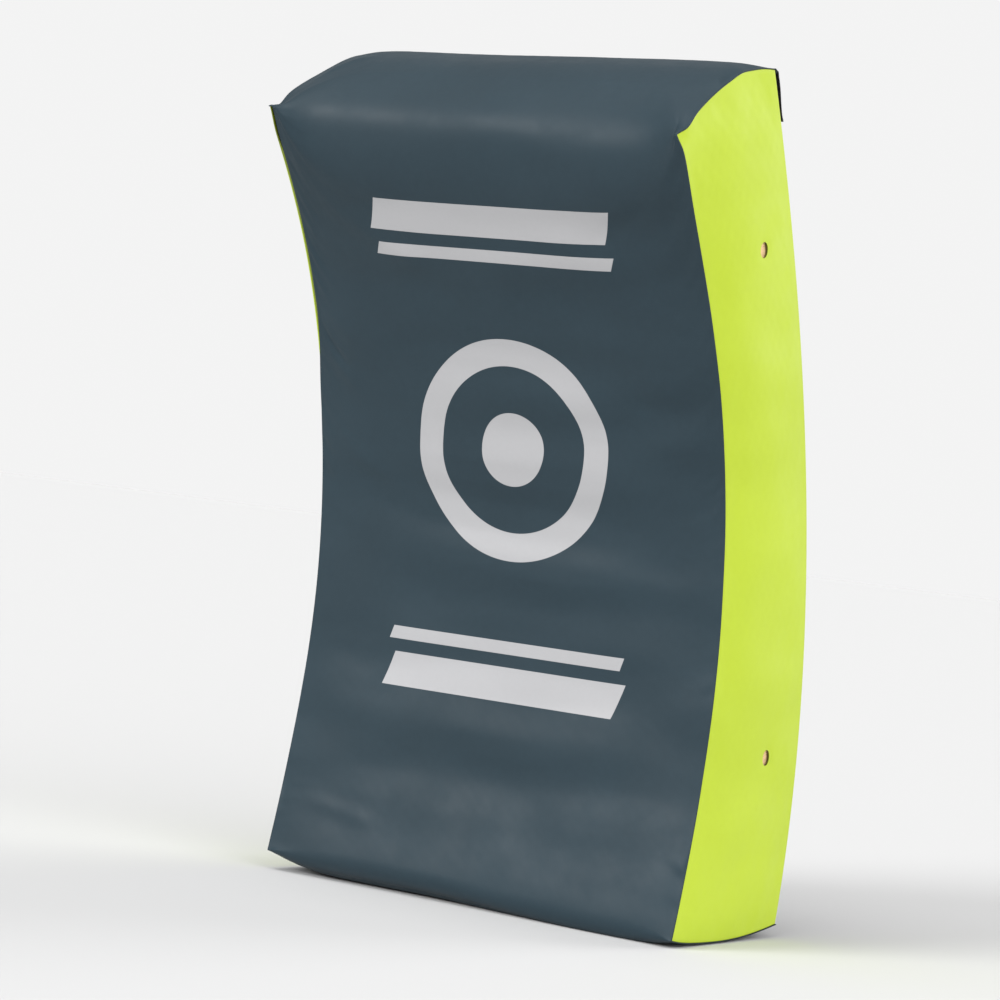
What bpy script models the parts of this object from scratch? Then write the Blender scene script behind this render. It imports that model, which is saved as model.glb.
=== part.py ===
# Rugby hit shield: a curved foam pad in a sewn cover, held by two grips and two forearm straps.
# Metres, +Z up. The strike face looks along -Y, the holder stands at +Y. The origin is on the floor,
# under the middle of the base.

import bpy
import bmesh
from mathutils import Matrix, Vector
from math import copysign, cos, sin, pi, floor, radians

# The pad's side outline, measured on the seams
pad_width = 0.450
base_depth = 0.1856
seam_lift = 0.0115
front_height = 0.6966
front_lean = 0.1275
front_sag = 0.0827
front_skew_share = 0.12
back_height = 0.7712
back_lean = 0.1681
back_sag = 0.0583
back_skew_share = -0.134
top_arch = 0.0145
top_skew_share = 0.35
bottom_arch = 0.0100
bottom_skew_share = -0.15
normal_step_share = 0.001

# The cover
sheet = 0.0009
gap = 0.0003
front_crown = 0.0040
top_crown = 0.0015
bottom_crown = 0.0040
back_crown = 0.0030
back_crown_power = 6
back_end_power = 4
base_power = 3
gusset_crown = 0.0040
gusset_end_power = 6
seam_draw = 0.0015
ear_reach = 0.0010
roll_reach = 0.0210
crown_power = 8
roll_power = 14
seam_shares = (0.0, 0.3, 0.58, 0.78, 0.89, 0.95, 0.985, 1.0)
front_steps = 16
corner_steps = 4
end_steps = 6
back_steps = 14
sharp_angle = radians(40)

# Vent holes punched through the gussets
vent_radius = 0.0072
vent_width_share = 0.85
vent_depth_share = 0.605
vent_height_shares = (0.2175, 0.8125)
vent_sides = 20
cut_overrun = 0.004

# Foam
foam_clearance = 0.0006
foam_end_clearance = 0.0018
layer_gap = 0.0004
waist_share = 0.5
foam_roll_reach = 0.0260
strike_foam_share = 0.25
back_foam_share = 0.82
back_foam_drop = 0.0040
foam_steps = 16

# Closure band under the top back seam: distances down from the seam, heights out from the back.
# The wrap turns down over the seam in a short hem, which the flap is sewn on.
hem_length = 0.0045
band_chord = 0.060
band_dip = 0.0015
dip_ramp = 0.022
band_side_gap = 0.0006
flap_length = 0.050
flap_start = 0.0004
flap_start_lift = 0.0018
flap_shoulder = 0.0050
strip_top = 0.0250
strip_length = 0.0210
loop_thickness = 0.0018
hook_thickness = 0.0016
strip_side_inset = 0.006

# Zip
tape_thickness = 0.0008
tape_start = 0.0015
tape_sewn_end = 0.0320
chain_middle = 0.0125
chain_thickness = 0.0032
chain_slot = 0.0011
tooth_length = 0.0024
tooth_pitch = 0.0040
tooth_root_width = 0.0019
tooth_tip_width = 0.0024
spine_width = 0.0016
chain_side_inset = 0.024
stop_length = 0.0040
panel_start = 0.0200

# Zip slider
plate_thickness = 0.0010
slider_length = 0.0120
slider_run_gap = 0.0003
web_thickness = 0.0006
lip_thickness = 0.0010
staple_length = 0.0030
staple_thickness = 0.0006
staple_window = 0.0012
tab_width = 0.0048
tab_thickness = 0.0006
tab_length = 0.0300
tab_tail = 0.0030
tab_end_sides = 6

# Grips and forearm straps. Heights are shares of the back's length from the bottom, and the
# loops, their feet and the gap between the middle feet are shares of the pad's width.
patch_thickness = 0.0009
patch_overhang = 0.0080
patch_steps = 4
centre_gap_share = 0.0400
foot_share = 0.0756
loop_share = 0.2778
grip_height_share = 0.70
grip_width = 0.0300
grip_rise = 0.0420
grip_sleeve_wall = 0.0045
grip_sleeve_thickness = 0.0180
arm_height_share = 0.365
arm_width = 0.0500
arm_rise = 0.0560
arm_sleeve_wall = 0.0080
arm_sleeve_thickness = 0.0120
webbing_thickness = 0.0024
foot_bend = 0.0080
shoulder_bend = 0.0240
rise_run = 0.0200
bend_steps = 5
sleeve_sides = 16
sleeve_roundness = 2.6
slot_clearance = 0.0004
foot_steps = 2


def clear_scene():
    for thing in list(bpy.data.objects):
        bpy.data.objects.remove(thing, do_unlink=True)


def make_material(name, colour, roughness, metallic=0.0):
    material = bpy.data.materials.new(name)
    material.use_nodes = True
    shader = material.node_tree.nodes["Principled BSDF"]
    shader.inputs["Base Color"].default_value = (*colour, 1.0)
    shader.inputs["Roughness"].default_value = roughness
    shader.inputs["Metallic"].default_value = metallic
    material.diffuse_color = (*colour, 1.0)
    return material


def make_empty(name, place, parent=None):
    empty = bpy.data.objects.new(name, None)
    empty.location = place
    bpy.context.collection.objects.link(empty)
    if parent:
        empty.parent = parent
    return empty


def make_object(name, shape, material, parent, helper=False):
    # The shape is given in world places and moved into its parent's frame
    bmesh.ops.recalc_face_normals(shape, faces=shape.faces)
    bmesh.ops.translate(shape, verts=shape.verts, vec=-parent.location)
    mesh = bpy.data.meshes.new(name)
    shape.to_mesh(mesh)
    shape.free()
    thing = bpy.data.objects.new(name, mesh)
    bpy.context.collection.objects.link(thing)
    thing.parent = parent
    if helper:
        thing.hide_render = True
        thing.display_type = "WIRE"
    else:
        mesh.materials.append(material)
    return thing


def smooth_round(thing, angle):
    thing.data.shade_smooth()
    thing.data.set_sharp_from_angle(angle=angle)


def add_boolean(thing, helper, operation):
    modifier = thing.modifiers.new(helper.name, "BOOLEAN")
    modifier.operation = operation
    modifier.solver = "EXACT"
    modifier.object = helper


# Flat geometry of the side view, where every point is (y, z)
front_bottom = Vector((-base_depth / 2, seam_lift))
back_bottom = Vector((base_depth / 2, seam_lift))
front_top = front_bottom + Vector((-front_lean, front_height))
back_top = back_bottom + Vector((-back_lean, back_height))
top_run = back_top - front_top
top_up = Vector((-top_run.y, top_run.x)).normalized()
back_length = Vector((back_lean, back_height)).length
corner_places = {
    "front_bottom": front_bottom,
    "front_top": front_top,
    "back_bottom": back_bottom,
    "back_top": back_top,
}
# Each edge: its start, its end, how it bows, the bow's skew, and the side its outer face is on
edges = {
    "front": ("front_bottom", "front_top", Vector((front_sag, 0)), front_skew_share, 1),
    "back": ("back_bottom", "back_top", Vector((back_sag, 0)), back_skew_share, -1),
    "top": ("front_top", "back_top", top_up * top_arch, top_skew_share, 1),
    "bottom": ("front_bottom", "back_bottom", Vector((0, -bottom_arch)), bottom_skew_share, -1),
}


def bow(share, skew=0.0):
    return 4 * share * (1 - share) * (1 + skew * (2 * share - 1))


def edge_point(edge, share, corners=corner_places):
    start, end, bulge, skew, side = edges[edge]
    return corners[start].lerp(corners[end], share) + bulge * bow(share, skew)


def edge_normal(edge, share):
    before = edge_point(edge, max(share - normal_step_share, 0))
    after = edge_point(edge, min(share + normal_step_share, 1))
    run = (after - before).normalized()
    side = edges[edge][4]
    return Vector((-run.y, run.x)) * side


def moved_corner(corner, first_normal, first_inset, second_normal, second_inset):
    # The corner of two edges that are each moved inwards by their own inset
    cross = first_normal.x * second_normal.y - first_normal.y * second_normal.x
    shift_y = (second_inset * first_normal.y - first_inset * second_normal.y) / cross
    shift_z = (first_inset * second_normal.x - second_inset * first_normal.x) / cross
    return corner + Vector((shift_y, shift_z))


def inset_corners(front=0.0, top=0.0, back=0.0, bottom=0.0):
    insets = {"front": front, "top": top, "back": back, "bottom": bottom}
    corners = {}
    for name, place in corner_places.items():
        upright, level = name.split("_")
        upright_share = 1.0 if level == "top" else 0.0
        level_share = 1.0 if upright == "back" else 0.0
        corners[name] = moved_corner(
            place,
            edge_normal(upright, upright_share),
            insets[upright],
            edge_normal(level, level_share),
            insets[level],
        )
    return corners


def side_point(corners, depth_share, height_share):
    # A point inside the side outline, blended from its four edges
    bottom = edge_point("bottom", depth_share, corners)
    top = edge_point("top", depth_share, corners)
    front = edge_point("front", height_share, corners)
    back = edge_point("back", height_share, corners)
    low = corners["front_bottom"].lerp(corners["back_bottom"], depth_share)
    high = corners["front_top"].lerp(corners["back_top"], depth_share)
    across = front.lerp(back, depth_share)
    return bottom.lerp(top, height_share) + across - low.lerp(high, height_share)


def rounded_corner(before, corner, after, steps):
    points = []
    for step in range(1, steps):
        share = step / steps
        points.append(before.lerp(corner, share).lerp(corner.lerp(after, share), share))
    return points


def line_normals(points):
    # Normals on the right hand of a line's run, in its own plane
    normals = []
    for index in range(len(points)):
        run = points[min(index + 1, len(points) - 1)] - points[max(index - 1, 0)]
        normals.append(Vector((run.y, -run.x)).normalized())
    return normals


def spread(count, start=0.0, end=1.0):
    return [start + (end - start) * step / count for step in range(count + 1)]


def both_sides(places):
    # Places from 0 outwards, mirrored to run from one side to the other
    return [-place for place in reversed(places) if place > 0] + list(places)


def grid_body(outer, inner):
    # A closed sheet between two grids of points with the same rows and columns
    shape = bmesh.new()
    faces_out = [[shape.verts.new(point) for point in row] for row in outer]
    faces_in = [[shape.verts.new(point) for point in row] for row in inner]
    rows = len(outer)
    columns = len(outer[0])
    for row in range(rows - 1):
        for column in range(columns - 1):
            for layer in (faces_out, faces_in):
                corners = (
                    layer[row][column],
                    layer[row][column + 1],
                    layer[row + 1][column + 1],
                    layer[row + 1][column],
                )
                shape.faces.new(corners)
    rim = [(0, column) for column in range(columns)]
    rim += [(row, columns - 1) for row in range(1, rows)]
    rim += [(rows - 1, column) for column in range(columns - 2, -1, -1)]
    rim += [(row, 0) for row in range(rows - 2, 0, -1)]
    for here, there in zip(rim, rim[1:] + rim[:1]):
        corners = (
            faces_out[here[0]][here[1]],
            faces_out[there[0]][there[1]],
            faces_in[there[0]][there[1]],
            faces_in[here[0]][here[1]],
        )
        shape.faces.new(corners)
    return shape


def prism_body(faces, rise):
    # Flat faces that share their corners, raised into a closed body
    shape = bmesh.new()
    corners = {}
    for face in faces:
        for point in face:
            key = tuple(point)
            if key not in corners:
                corners[key] = shape.verts.new(point)
        shape.faces.new([corners[tuple(point)] for point in face])
    base = list(shape.faces)
    raised = bmesh.ops.extrude_face_region(shape, geom=base, use_keep_orig=True)
    new_verts = [item for item in raised["geom"] if isinstance(item, bmesh.types.BMVert)]
    bmesh.ops.translate(shape, verts=new_verts, vec=rise)
    return shape


# The closure band lies on a flat stretch of the back, under the top back seam
band_down = (edge_point("back", 1 - band_chord / back_length) - back_top).normalized()
band_out = Vector((-band_down.y, band_down.x))
ramp_start_share = 1 - (band_chord + dip_ramp) / back_length
top_end_run = (edge_point("top", 1.0) - edge_point("top", 1 - normal_step_share)).normalized()


def band_point(across, down, out):
    return Vector((across, *(back_top + band_down * down + band_out * out)))


# The cover
seam_inset = sheet + gap
hem_out = gap + sheet
hem_corner = back_top + top_end_run * (hem_out / top_end_run.dot(band_out))
hem_end = back_top + band_down * hem_length + band_out * hem_out
inner_half = pad_width / 2 - seam_draw - sheet - gap
gusset_corners = inset_corners(front=seam_inset, top=seam_inset, bottom=seam_inset)
panel_corners = inset_corners(bottom=seam_inset)


def wrap_outline(station):
    # The wrap's line at a share of the way from the middle to the gusset's inner face,
    # from its hem over the top back seam round the front to the bottom back seam
    reach = ear_reach + (roll_reach - ear_reach) * (1 - station ** roll_power)
    swell = 1 - station ** crown_power
    top_cut = reach / top_run.length
    front_cut = reach / front_height
    bottom_cut = reach / base_depth
    points = [hem_end, hem_corner]
    crowns = [0.0, 0.0]
    for share in spread(end_steps, 1.0, top_cut)[1:]:
        points.append(edge_point("top", share))
        crowns.append(front_crown * (1 - share) + top_crown * bow(share))
    upper = rounded_corner(points[-1], front_top, edge_point("front", 1 - front_cut), corner_steps)
    points += upper
    crowns += [front_crown] * len(upper)
    for share in spread(front_steps, 1 - front_cut, front_cut):
        points.append(edge_point("front", share))
        crowns.append(front_crown)
    lower = rounded_corner(points[-1], front_bottom, edge_point("bottom", bottom_cut), corner_steps)
    points += lower
    crowns += [front_crown] * len(lower)
    for share in spread(end_steps, bottom_cut, 1.0):
        points.append(edge_point("bottom", share))
        base_swell = bottom_crown * (1 - abs(2 * share - 1) ** base_power)
        crowns.append(front_crown * (1 - share) + base_swell)
    normals = line_normals(points)
    outer = [point + normal * crown * swell for point, normal, crown in zip(points, normals, crowns)]
    inner = [point - normal * sheet for point, normal in zip(outer, line_normals(outer))]
    # The base is pressed flat where it stands on the floor
    outer = [Vector((point.x, max(point.y, 0))) for point in outer]
    inner = [Vector((point.x, max(point.y, sheet))) for point in inner]
    return outer, inner


def make_strike_wrap(material, parent):
    outer = []
    inner = []
    places = [share * inner_half for share in seam_shares] + [pad_width / 2]
    for across in both_sides(places):
        outside, inside = wrap_outline(min(abs(across) / inner_half, 1.0))
        outer.append([Vector((across, *point)) for point in outside])
        inner.append([Vector((across, *point)) for point in inside])
    wrap = make_object("strike_wrap", grid_body(outer, inner), material, parent)
    smooth_round(wrap, sharp_angle)


def gusset_swell(depth_share, height_share):
    return (1 - (2 * depth_share - 1) ** 2) * (1 - (2 * height_share - 1) ** gusset_end_power)


def make_gusset(name, side, material, parent):
    ear_share = ear_reach / front_height
    depth_shares = spread(end_steps)
    height_shares = [0.0] + spread(front_steps, ear_share, 1 - ear_share)[1:-1] + [1.0]
    outer = []
    inner = []
    for height_share in height_shares:
        outside = []
        inside = []
        for depth_share in depth_shares:
            place = side_point(gusset_corners, depth_share, height_share)
            swell = gusset_crown * gusset_swell(depth_share, height_share)
            across = pad_width / 2 - seam_draw + swell
            outside.append(Vector((side * across, *place)))
            inside.append(Vector((side * (across - sheet), *place)))
        outer.append(outside)
        inner.append(inside)
    gusset = make_object(name, grid_body(outer, inner), material, parent)
    smooth_round(gusset, sharp_angle)
    for number, height_share in enumerate(vent_height_shares, start=1):
        place = side_point(gusset_corners, vent_depth_share, height_share)
        cutter = bmesh.new()
        bmesh.ops.create_cone(
            cutter,
            cap_ends=True,
            segments=vent_sides,
            radius1=vent_radius,
            radius2=vent_radius,
            depth=2 * (gusset_crown + cut_overrun),
        )
        bmesh.ops.rotate(cutter, verts=cutter.verts, matrix=Matrix.Rotation(pi / 2, 3, "Y"))
        bmesh.ops.scale(cutter, verts=cutter.verts, vec=(1, vent_width_share, 1))
        bmesh.ops.translate(cutter, verts=cutter.verts, vec=(side * pad_width / 2, *place))
        vent = make_object(f"{name}_vent_cutter_{number}", cutter, None, parent, helper=True)
        add_boolean(gusset, vent, "DIFFERENCE")


def back_swell(across, height_share):
    # How far the back stands out of its seams: nothing at the base and in the closure band
    if height_share > ramp_start_share:
        return 0.0
    upright = 1 - abs(2 * height_share / ramp_start_share - 1) ** back_end_power
    return back_crown * (1 - abs(across / inner_half) ** back_crown_power) * upright


def make_back_panel(material, parent):
    outer = []
    inner = []
    places = [station * inner_half for station in both_sides(seam_shares)]
    for down in (panel_start, band_chord):
        outer.append([band_point(across, down, -band_dip) for across in places])
        inner.append([band_point(across, down, -band_dip - sheet) for across in places])
    for height_share in reversed(spread(back_steps, 0.0, ramp_start_share)):
        place = edge_point("back", height_share, panel_corners)
        normal = edge_normal("back", height_share)
        outside = []
        inside = []
        for across in places:
            swell = back_swell(across, height_share)
            outside.append(Vector((across, *(place + normal * swell))))
            inside.append(Vector((across, *(place + normal * (swell - sheet)))))
        outer.append(outside)
        inner.append(inside)
    panel = make_object("back_panel", grid_body(outer, inner), material, parent)
    smooth_round(panel, sharp_angle)


# The foam block, in three laminated layers
foam_inset = sheet + foam_clearance
foam_corners = inset_corners(
    front=foam_inset,
    top=sheet + foam_end_clearance,
    back=foam_inset + band_dip,
    bottom=sheet + foam_end_clearance,
)
waist_depth = (edge_point("back", waist_share) - edge_point("front", waist_share)).length
layer_gap_share = layer_gap / waist_depth


def foam_line(depth_share, height_shares):
    return [side_point(foam_corners, depth_share, share) for share in height_shares]


def foam_layer(name, front_line, back_line, material, parent):
    outer = []
    inner = []
    for across in (-inner_half, inner_half):
        outer.append([Vector((across, *point)) for point in front_line])
        inner.append([Vector((across, *point)) for point in back_line])
    return make_object(name, grid_body(outer, inner), material, parent)


def make_foam(soft, light, firm, parent):
    front_cut = foam_roll_reach / front_height
    end_cut = foam_roll_reach / base_depth
    shares = spread(foam_steps, front_cut, 1 - front_cut)
    low = side_point(foam_corners, end_cut, 0.0)
    high = side_point(foam_corners, end_cut, 1.0)
    face = foam_line(0.0, shares)
    strike_line = [side_point(foam_corners, strike_foam_share, 0.0), low]
    strike_line += rounded_corner(low, foam_corners["front_bottom"], face[0], corner_steps)
    strike_line += face
    strike_line += rounded_corner(face[-1], foam_corners["front_top"], high, corner_steps)
    strike_line += [high, side_point(foam_corners, strike_foam_share, 1.0)]
    behind = foam_line(strike_foam_share, spread(len(strike_line) - 1))
    foam_layer("strike_foam", strike_line, behind, soft, parent)
    core_front = foam_line(strike_foam_share + layer_gap_share, spread(foam_steps))
    core_back = foam_line(back_foam_share, spread(foam_steps))
    foam_layer("core_foam", core_front, core_back, light, parent)
    drop_share = 1 - (tape_sewn_end + back_foam_drop) / back_length
    firm_shares = spread(foam_steps, 0.0, drop_share)
    firm_front = foam_line(back_foam_share + layer_gap_share, firm_shares)
    firm_back = foam_line(1.0, firm_shares)
    foam_layer("back_foam", firm_front, firm_back, firm, parent)


# Flap and zip, in the closure band
loop_out = -band_dip + gap
hook_out = loop_out + loop_thickness + gap
flap_out = hook_out + hook_thickness + gap
tape_out = -band_dip - sheet - gap
chain_out = tape_out - tape_thickness / 2
upper_spine = chain_middle - chain_slot / 2 - tooth_length - spine_width
lower_spine = chain_middle + chain_slot / 2 + tooth_length + spine_width
strip_half = inner_half - strip_side_inset
chain_half = inner_half - chain_side_inset
tape_half = inner_half - band_side_gap


def band_sheet(name, half, inner_line, thickness, material, parent):
    # A sheet whose inner line is given as (down, out) places
    outer = []
    inner = []
    for across in (-half, half):
        outer.append([band_point(across, down, out + thickness) for down, out in inner_line])
        inner.append([band_point(across, down, out) for down, out in inner_line])
    return make_object(name, grid_body(outer, inner), material, parent)


def make_flap(black, hook, parent):
    flap_half = pad_width / 2 - seam_draw
    line = [
        (flap_start, flap_start_lift),
        (flap_shoulder, flap_out),
        (strip_top, flap_out),
        (flap_length, flap_out),
    ]
    band_sheet("closure_flap", flap_half, line, sheet, black, parent)
    strip_line = [(strip_top, hook_out), (strip_top + strip_length, hook_out)]
    band_sheet("flap_hook_strip", strip_half, strip_line, hook_thickness, hook, parent)


def make_zip(tape, teeth, loop, parent):
    strip_line = [(strip_top, loop_out), (strip_top + strip_length, loop_out)]
    band_sheet("back_loop_strip", strip_half, strip_line, loop_thickness, loop, parent)
    tape_in = tape_out - tape_thickness
    upper_line = [(tape_start, tape_in), (upper_spine - gap, tape_in)]
    lower_line = [(lower_spine + gap, tape_in), (tape_sewn_end, tape_in)]
    band_sheet("zip_tape_upper", tape_half, upper_line, tape_thickness, tape, parent)
    band_sheet("zip_tape_lower", tape_half, lower_line, tape_thickness, tape, parent)
    make_teeth("zip_teeth_upper", upper_spine, 1, 0.0, teeth, parent)
    make_teeth("zip_teeth_lower", lower_spine, -1, tooth_pitch / 2, teeth, parent)
    for name, side in (("zip_stop_left", -1), ("zip_stop_right", 1)):
        make_stop(name, side, teeth, parent)


def make_teeth(name, spine_edge, way, shift, material, parent):
    # A row of teeth on its spine: way is 1 where the teeth point down the back
    root = spine_edge + way * spine_width
    tip = root + way * tooth_length
    low_out = chain_out - chain_thickness / 2
    count = floor(2 * chain_half / tooth_pitch) - 1
    faces = []
    edge = -chain_half

    def cell(near_left, near_right, near_down, far_left, far_right, far_down):
        faces.append([
            band_point(near_left, near_down, low_out),
            band_point(near_right, near_down, low_out),
            band_point(far_right, far_down, low_out),
            band_point(far_left, far_down, low_out),
        ])

    for number in range(count):
        middle = (number - (count - 1) / 2) * tooth_pitch + shift - tooth_pitch / 4
        left = middle - tooth_root_width / 2
        right = middle + tooth_root_width / 2
        cell(edge, left, spine_edge, edge, left, root)
        cell(left, right, spine_edge, left, right, root)
        cell(left, right, root, middle - tooth_tip_width / 2, middle + tooth_tip_width / 2, tip)
        edge = right
    cell(edge, chain_half, spine_edge, edge, chain_half, root)
    rise = band_point(0, 0, chain_thickness) - band_point(0, 0, 0)
    make_object(name, prism_body(faces, rise), material, parent)


def make_stop(name, side, material, parent):
    near = side * (chain_half + gap)
    far = side * (chain_half + gap + stop_length)
    low_out = chain_out - chain_thickness / 2
    line = [(upper_spine, low_out), (lower_spine, low_out)]
    outer = []
    inner = []
    for across in (near, far):
        outer.append([band_point(across, down, out + chain_thickness) for down, out in line])
        inner.append([band_point(across, down, out) for down, out in line])
    make_object(name, grid_body(outer, inner), material, parent)


slider_place = -chain_half + slider_length / 2 + slider_run_gap
slider_travel = 2 * chain_half - slider_length - 2 * slider_run_gap
plate_out = chain_out + chain_thickness / 2 + slider_run_gap


def band_prism(name, outline, start, length, material, parent, helper=False):
    # An outline of (down, out) places, raised along the zip
    face = [band_point(start, down, out) for down, out in outline]
    rise = Vector((length, 0, 0))
    return make_object(name, prism_body([face], rise), material, parent, helper=helper)


def make_slider(metal, webbing, parent):
    lip = upper_spine - slider_run_gap
    far_lip = lower_spine + slider_run_gap
    top_out = plate_out + plate_thickness
    low_out = chain_out - chain_thickness / 2 - slider_run_gap
    bottom_out = low_out - plate_thickness
    upper_lip_out = tape_out + slider_run_gap
    lower_lip_out = tape_out - tape_thickness - slider_run_gap
    web = (chain_middle - web_thickness / 2, chain_middle + web_thickness / 2)
    outline = [
        (lip - lip_thickness, top_out),
        (far_lip + lip_thickness, top_out),
        (far_lip + lip_thickness, upper_lip_out),
        (far_lip, upper_lip_out),
        (far_lip, plate_out),
        (web[1], plate_out),
        (web[1], low_out),
        (far_lip, low_out),
        (far_lip, lower_lip_out),
        (far_lip + lip_thickness, lower_lip_out),
        (far_lip + lip_thickness, bottom_out),
        (lip - lip_thickness, bottom_out),
        (lip - lip_thickness, lower_lip_out),
        (lip, lower_lip_out),
        (lip, low_out),
        (web[0], low_out),
        (web[0], plate_out),
        (lip, plate_out),
        (lip, upper_lip_out),
        (lip - lip_thickness, upper_lip_out),
    ]
    start = slider_place - slider_length / 2
    slider = band_prism("zip_slider", outline, start, slider_length, metal, parent)
    inside = tab_width / 2 + gap
    outside = inside + staple_thickness
    window_out = top_out + staple_window
    root_out = top_out - plate_thickness / 2
    staple_outline = [
        (chain_middle - outside, root_out),
        (chain_middle - outside, window_out + staple_thickness),
        (chain_middle + outside, window_out + staple_thickness),
        (chain_middle + outside, root_out),
        (chain_middle + inside, root_out),
        (chain_middle + inside, window_out),
        (chain_middle - inside, window_out),
        (chain_middle - inside, root_out),
    ]
    start = slider_place - staple_length / 2
    staple = band_prism("slider_staple", staple_outline, start, staple_length, metal, parent, helper=True)
    add_boolean(slider, staple, "UNION")
    # The pull tab: a flat strip under the staple, its far end round
    tab_out = top_out + gap
    half = tab_width / 2
    end = slider_place + tab_length - half
    face = [band_point(slider_place - tab_tail, chain_middle + half, tab_out)]
    face.append(band_point(slider_place - tab_tail, chain_middle - half, tab_out))
    for share in spread(tab_end_sides):
        angle = pi * (share - 0.5)
        face.append(band_point(end + half * cos(angle), chain_middle + half * sin(angle), tab_out))
    rise = band_point(0, 0, tab_thickness) - band_point(0, 0, 0)
    make_object("zip_pull_tab", prism_body([face], rise), webbing, parent)


# Grips and forearm straps
def back_place(height_share):
    # A flat frame on the back at a height: its middle, its up direction and its outward direction
    place = edge_point("back", height_share, panel_corners)
    normal = edge_normal("back", height_share)
    up = Vector((-normal.y, normal.x))
    return place, up, normal


def strap_point(frame, height_share, across, up_by, out):
    place, up, normal = frame
    level = back_swell(across, height_share) + out
    return Vector((across, *(place + up * up_by + normal * level)))


def ribbon(name, height_share, half_width, line, half_thickness, material, parent):
    # A band that runs across the back, along a line of (across, out) places
    frame = back_place(height_share)
    normals = line_normals(line)
    outer = []
    inner = []
    for up_by in (-half_width, half_width):
        outside = []
        inside = []
        for point, normal in zip(line, normals):
            high = point - normal * half_thickness
            low = point + normal * half_thickness
            outside.append(strap_point(frame, height_share, high.x, up_by, high.y))
            inside.append(strap_point(frame, height_share, low.x, up_by, low.y))
        outer.append(outside)
        inner.append(inside)
    return make_object(name, grid_body(outer, inner), material, parent)


foot_start = centre_gap_share * pad_width
foot_length = foot_share * pad_width
loop_start = foot_start + foot_length
loop_end = loop_start + loop_share * pad_width
foot_end = loop_end + foot_length
foot_out = gap + patch_thickness + gap + webbing_thickness / 2


def loop_line(rise):
    # The webbing's middle line: a foot, a rounded rise, a round-shouldered top and the way back
    # down. Also the numbers of the points between which the sleeve goes round it.
    peak = foot_out + rise
    path = [
        Vector((loop_start - foot_bend, foot_out)),
        Vector((loop_start, foot_out)),
        Vector((loop_start + rise_run, peak)),
        Vector((loop_end - rise_run, peak)),
        Vector((loop_end, foot_out)),
        Vector((loop_end + foot_bend, foot_out)),
    ]
    bends = (foot_bend, shoulder_bend, shoulder_bend, foot_bend)
    line = [Vector((place, foot_out)) for place in spread(foot_steps, foot_start, path[0].x)[:-1]]
    marks = []
    for before, corner, after, bend in zip(path, path[1:], path[2:], bends):
        start = corner + (before - corner).normalized() * bend
        end = corner + (after - corner).normalized() * bend
        marks.append(len(line))
        line += [start] + rounded_corner(start, corner, end, bend_steps) + [end]
    line += [Vector((place, foot_out)) for place in spread(foot_steps, path[-1].x, foot_end)[1:]]
    return line, marks[1], marks[3] - 1


def make_sleeve(name, height_share, width, line, first, last, wall, thickness, material, parent):
    # A padded tube round the webbing, section by section along its line, with the slot it fills
    frame = back_place(height_share)
    normals = line_normals(line)
    shape = bmesh.new()
    outer = []
    inner = []
    for number in range(first, last + 1):
        outside = []
        inside = []
        for turn in range(sleeve_sides):
            angle = 2 * pi * turn / sleeve_sides
            reach = cos(angle)
            level = sin(angle)
            power = 2 / sleeve_roundness
            up_by = (width / 2 + wall) * abs(reach) ** power * copysign(1, reach)
            out = thickness / 2 * abs(level) ** power * copysign(1, level)
            place = line[number] - normals[number] * out
            outside.append(shape.verts.new(strap_point(frame, height_share, place.x, up_by, place.y)))
            square = max(abs(reach), abs(level))
            up_by = (width / 2 + slot_clearance) * reach / square
            out = (webbing_thickness / 2 + slot_clearance) * level / square
            place = line[number] - normals[number] * out
            inside.append(shape.verts.new(strap_point(frame, height_share, place.x, up_by, place.y)))
        outer.append(outside)
        inner.append(inside)
    for turn in range(sleeve_sides):
        following = (turn + 1) % sleeve_sides
        for here, there in zip(range(last - first), range(1, last - first + 1)):
            for rings in (outer, inner):
                corners = (
                    rings[here][turn],
                    rings[here][following],
                    rings[there][following],
                    rings[there][turn],
                )
                shape.faces.new(corners)
        for number in (0, -1):
            corners = (
                outer[number][turn],
                outer[number][following],
                inner[number][following],
                inner[number][turn],
            )
            shape.faces.new(corners)
    sleeve = make_object(name, shape, material, parent)
    smooth_round(sleeve, sharp_angle)


def mirrored(line):
    return [Vector((-point.x, point.y)) for point in reversed(line)]


def make_holds(sheet_material, webbing, sleeve, parent):
    patch_line_out = gap + patch_thickness / 2
    rows = (
        ("upper", "grip", grip_height_share, grip_width, grip_rise, grip_sleeve_wall, grip_sleeve_thickness),
        ("lower", "arm", arm_height_share, arm_width, arm_rise, arm_sleeve_wall, arm_sleeve_thickness),
    )
    for level, kind, height_share, width, rise, wall, thickness in rows:
        patch_half = width / 2 + patch_overhang
        outer_line = [
            Vector((place, patch_line_out))
            for place in spread(patch_steps, loop_end - patch_overhang, foot_end + patch_overhang)
        ]
        centre_reach = loop_start + patch_overhang
        centre_line = [
            Vector((place, patch_line_out))
            for place in spread(2 * patch_steps, -centre_reach, centre_reach)
        ]
        patches = (("left", mirrored(outer_line)), ("centre", centre_line), ("right", outer_line))
        for place, line in patches:
            name = f"{level}_patch_{place}"
            ribbon(name, height_share, patch_half, line, patch_thickness / 2, sheet_material, parent)
        right_line, first, last = loop_line(rise)
        left_first = len(right_line) - 1 - last
        left_last = len(right_line) - 1 - first
        loops = (("left", mirrored(right_line), left_first, left_last), ("right", right_line, first, last))
        for place, line, sleeve_first, sleeve_last in loops:
            name = f"{kind}_webbing_{place}"
            band = ribbon(name, height_share, width / 2, line, webbing_thickness / 2, webbing, parent)
            smooth_round(band, sharp_angle)
            name = f"{kind}_sleeve_{place}"
            span = (sleeve_first, sleeve_last)
            make_sleeve(name, height_share, width, line, *span, wall, thickness, sleeve, parent)


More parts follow.
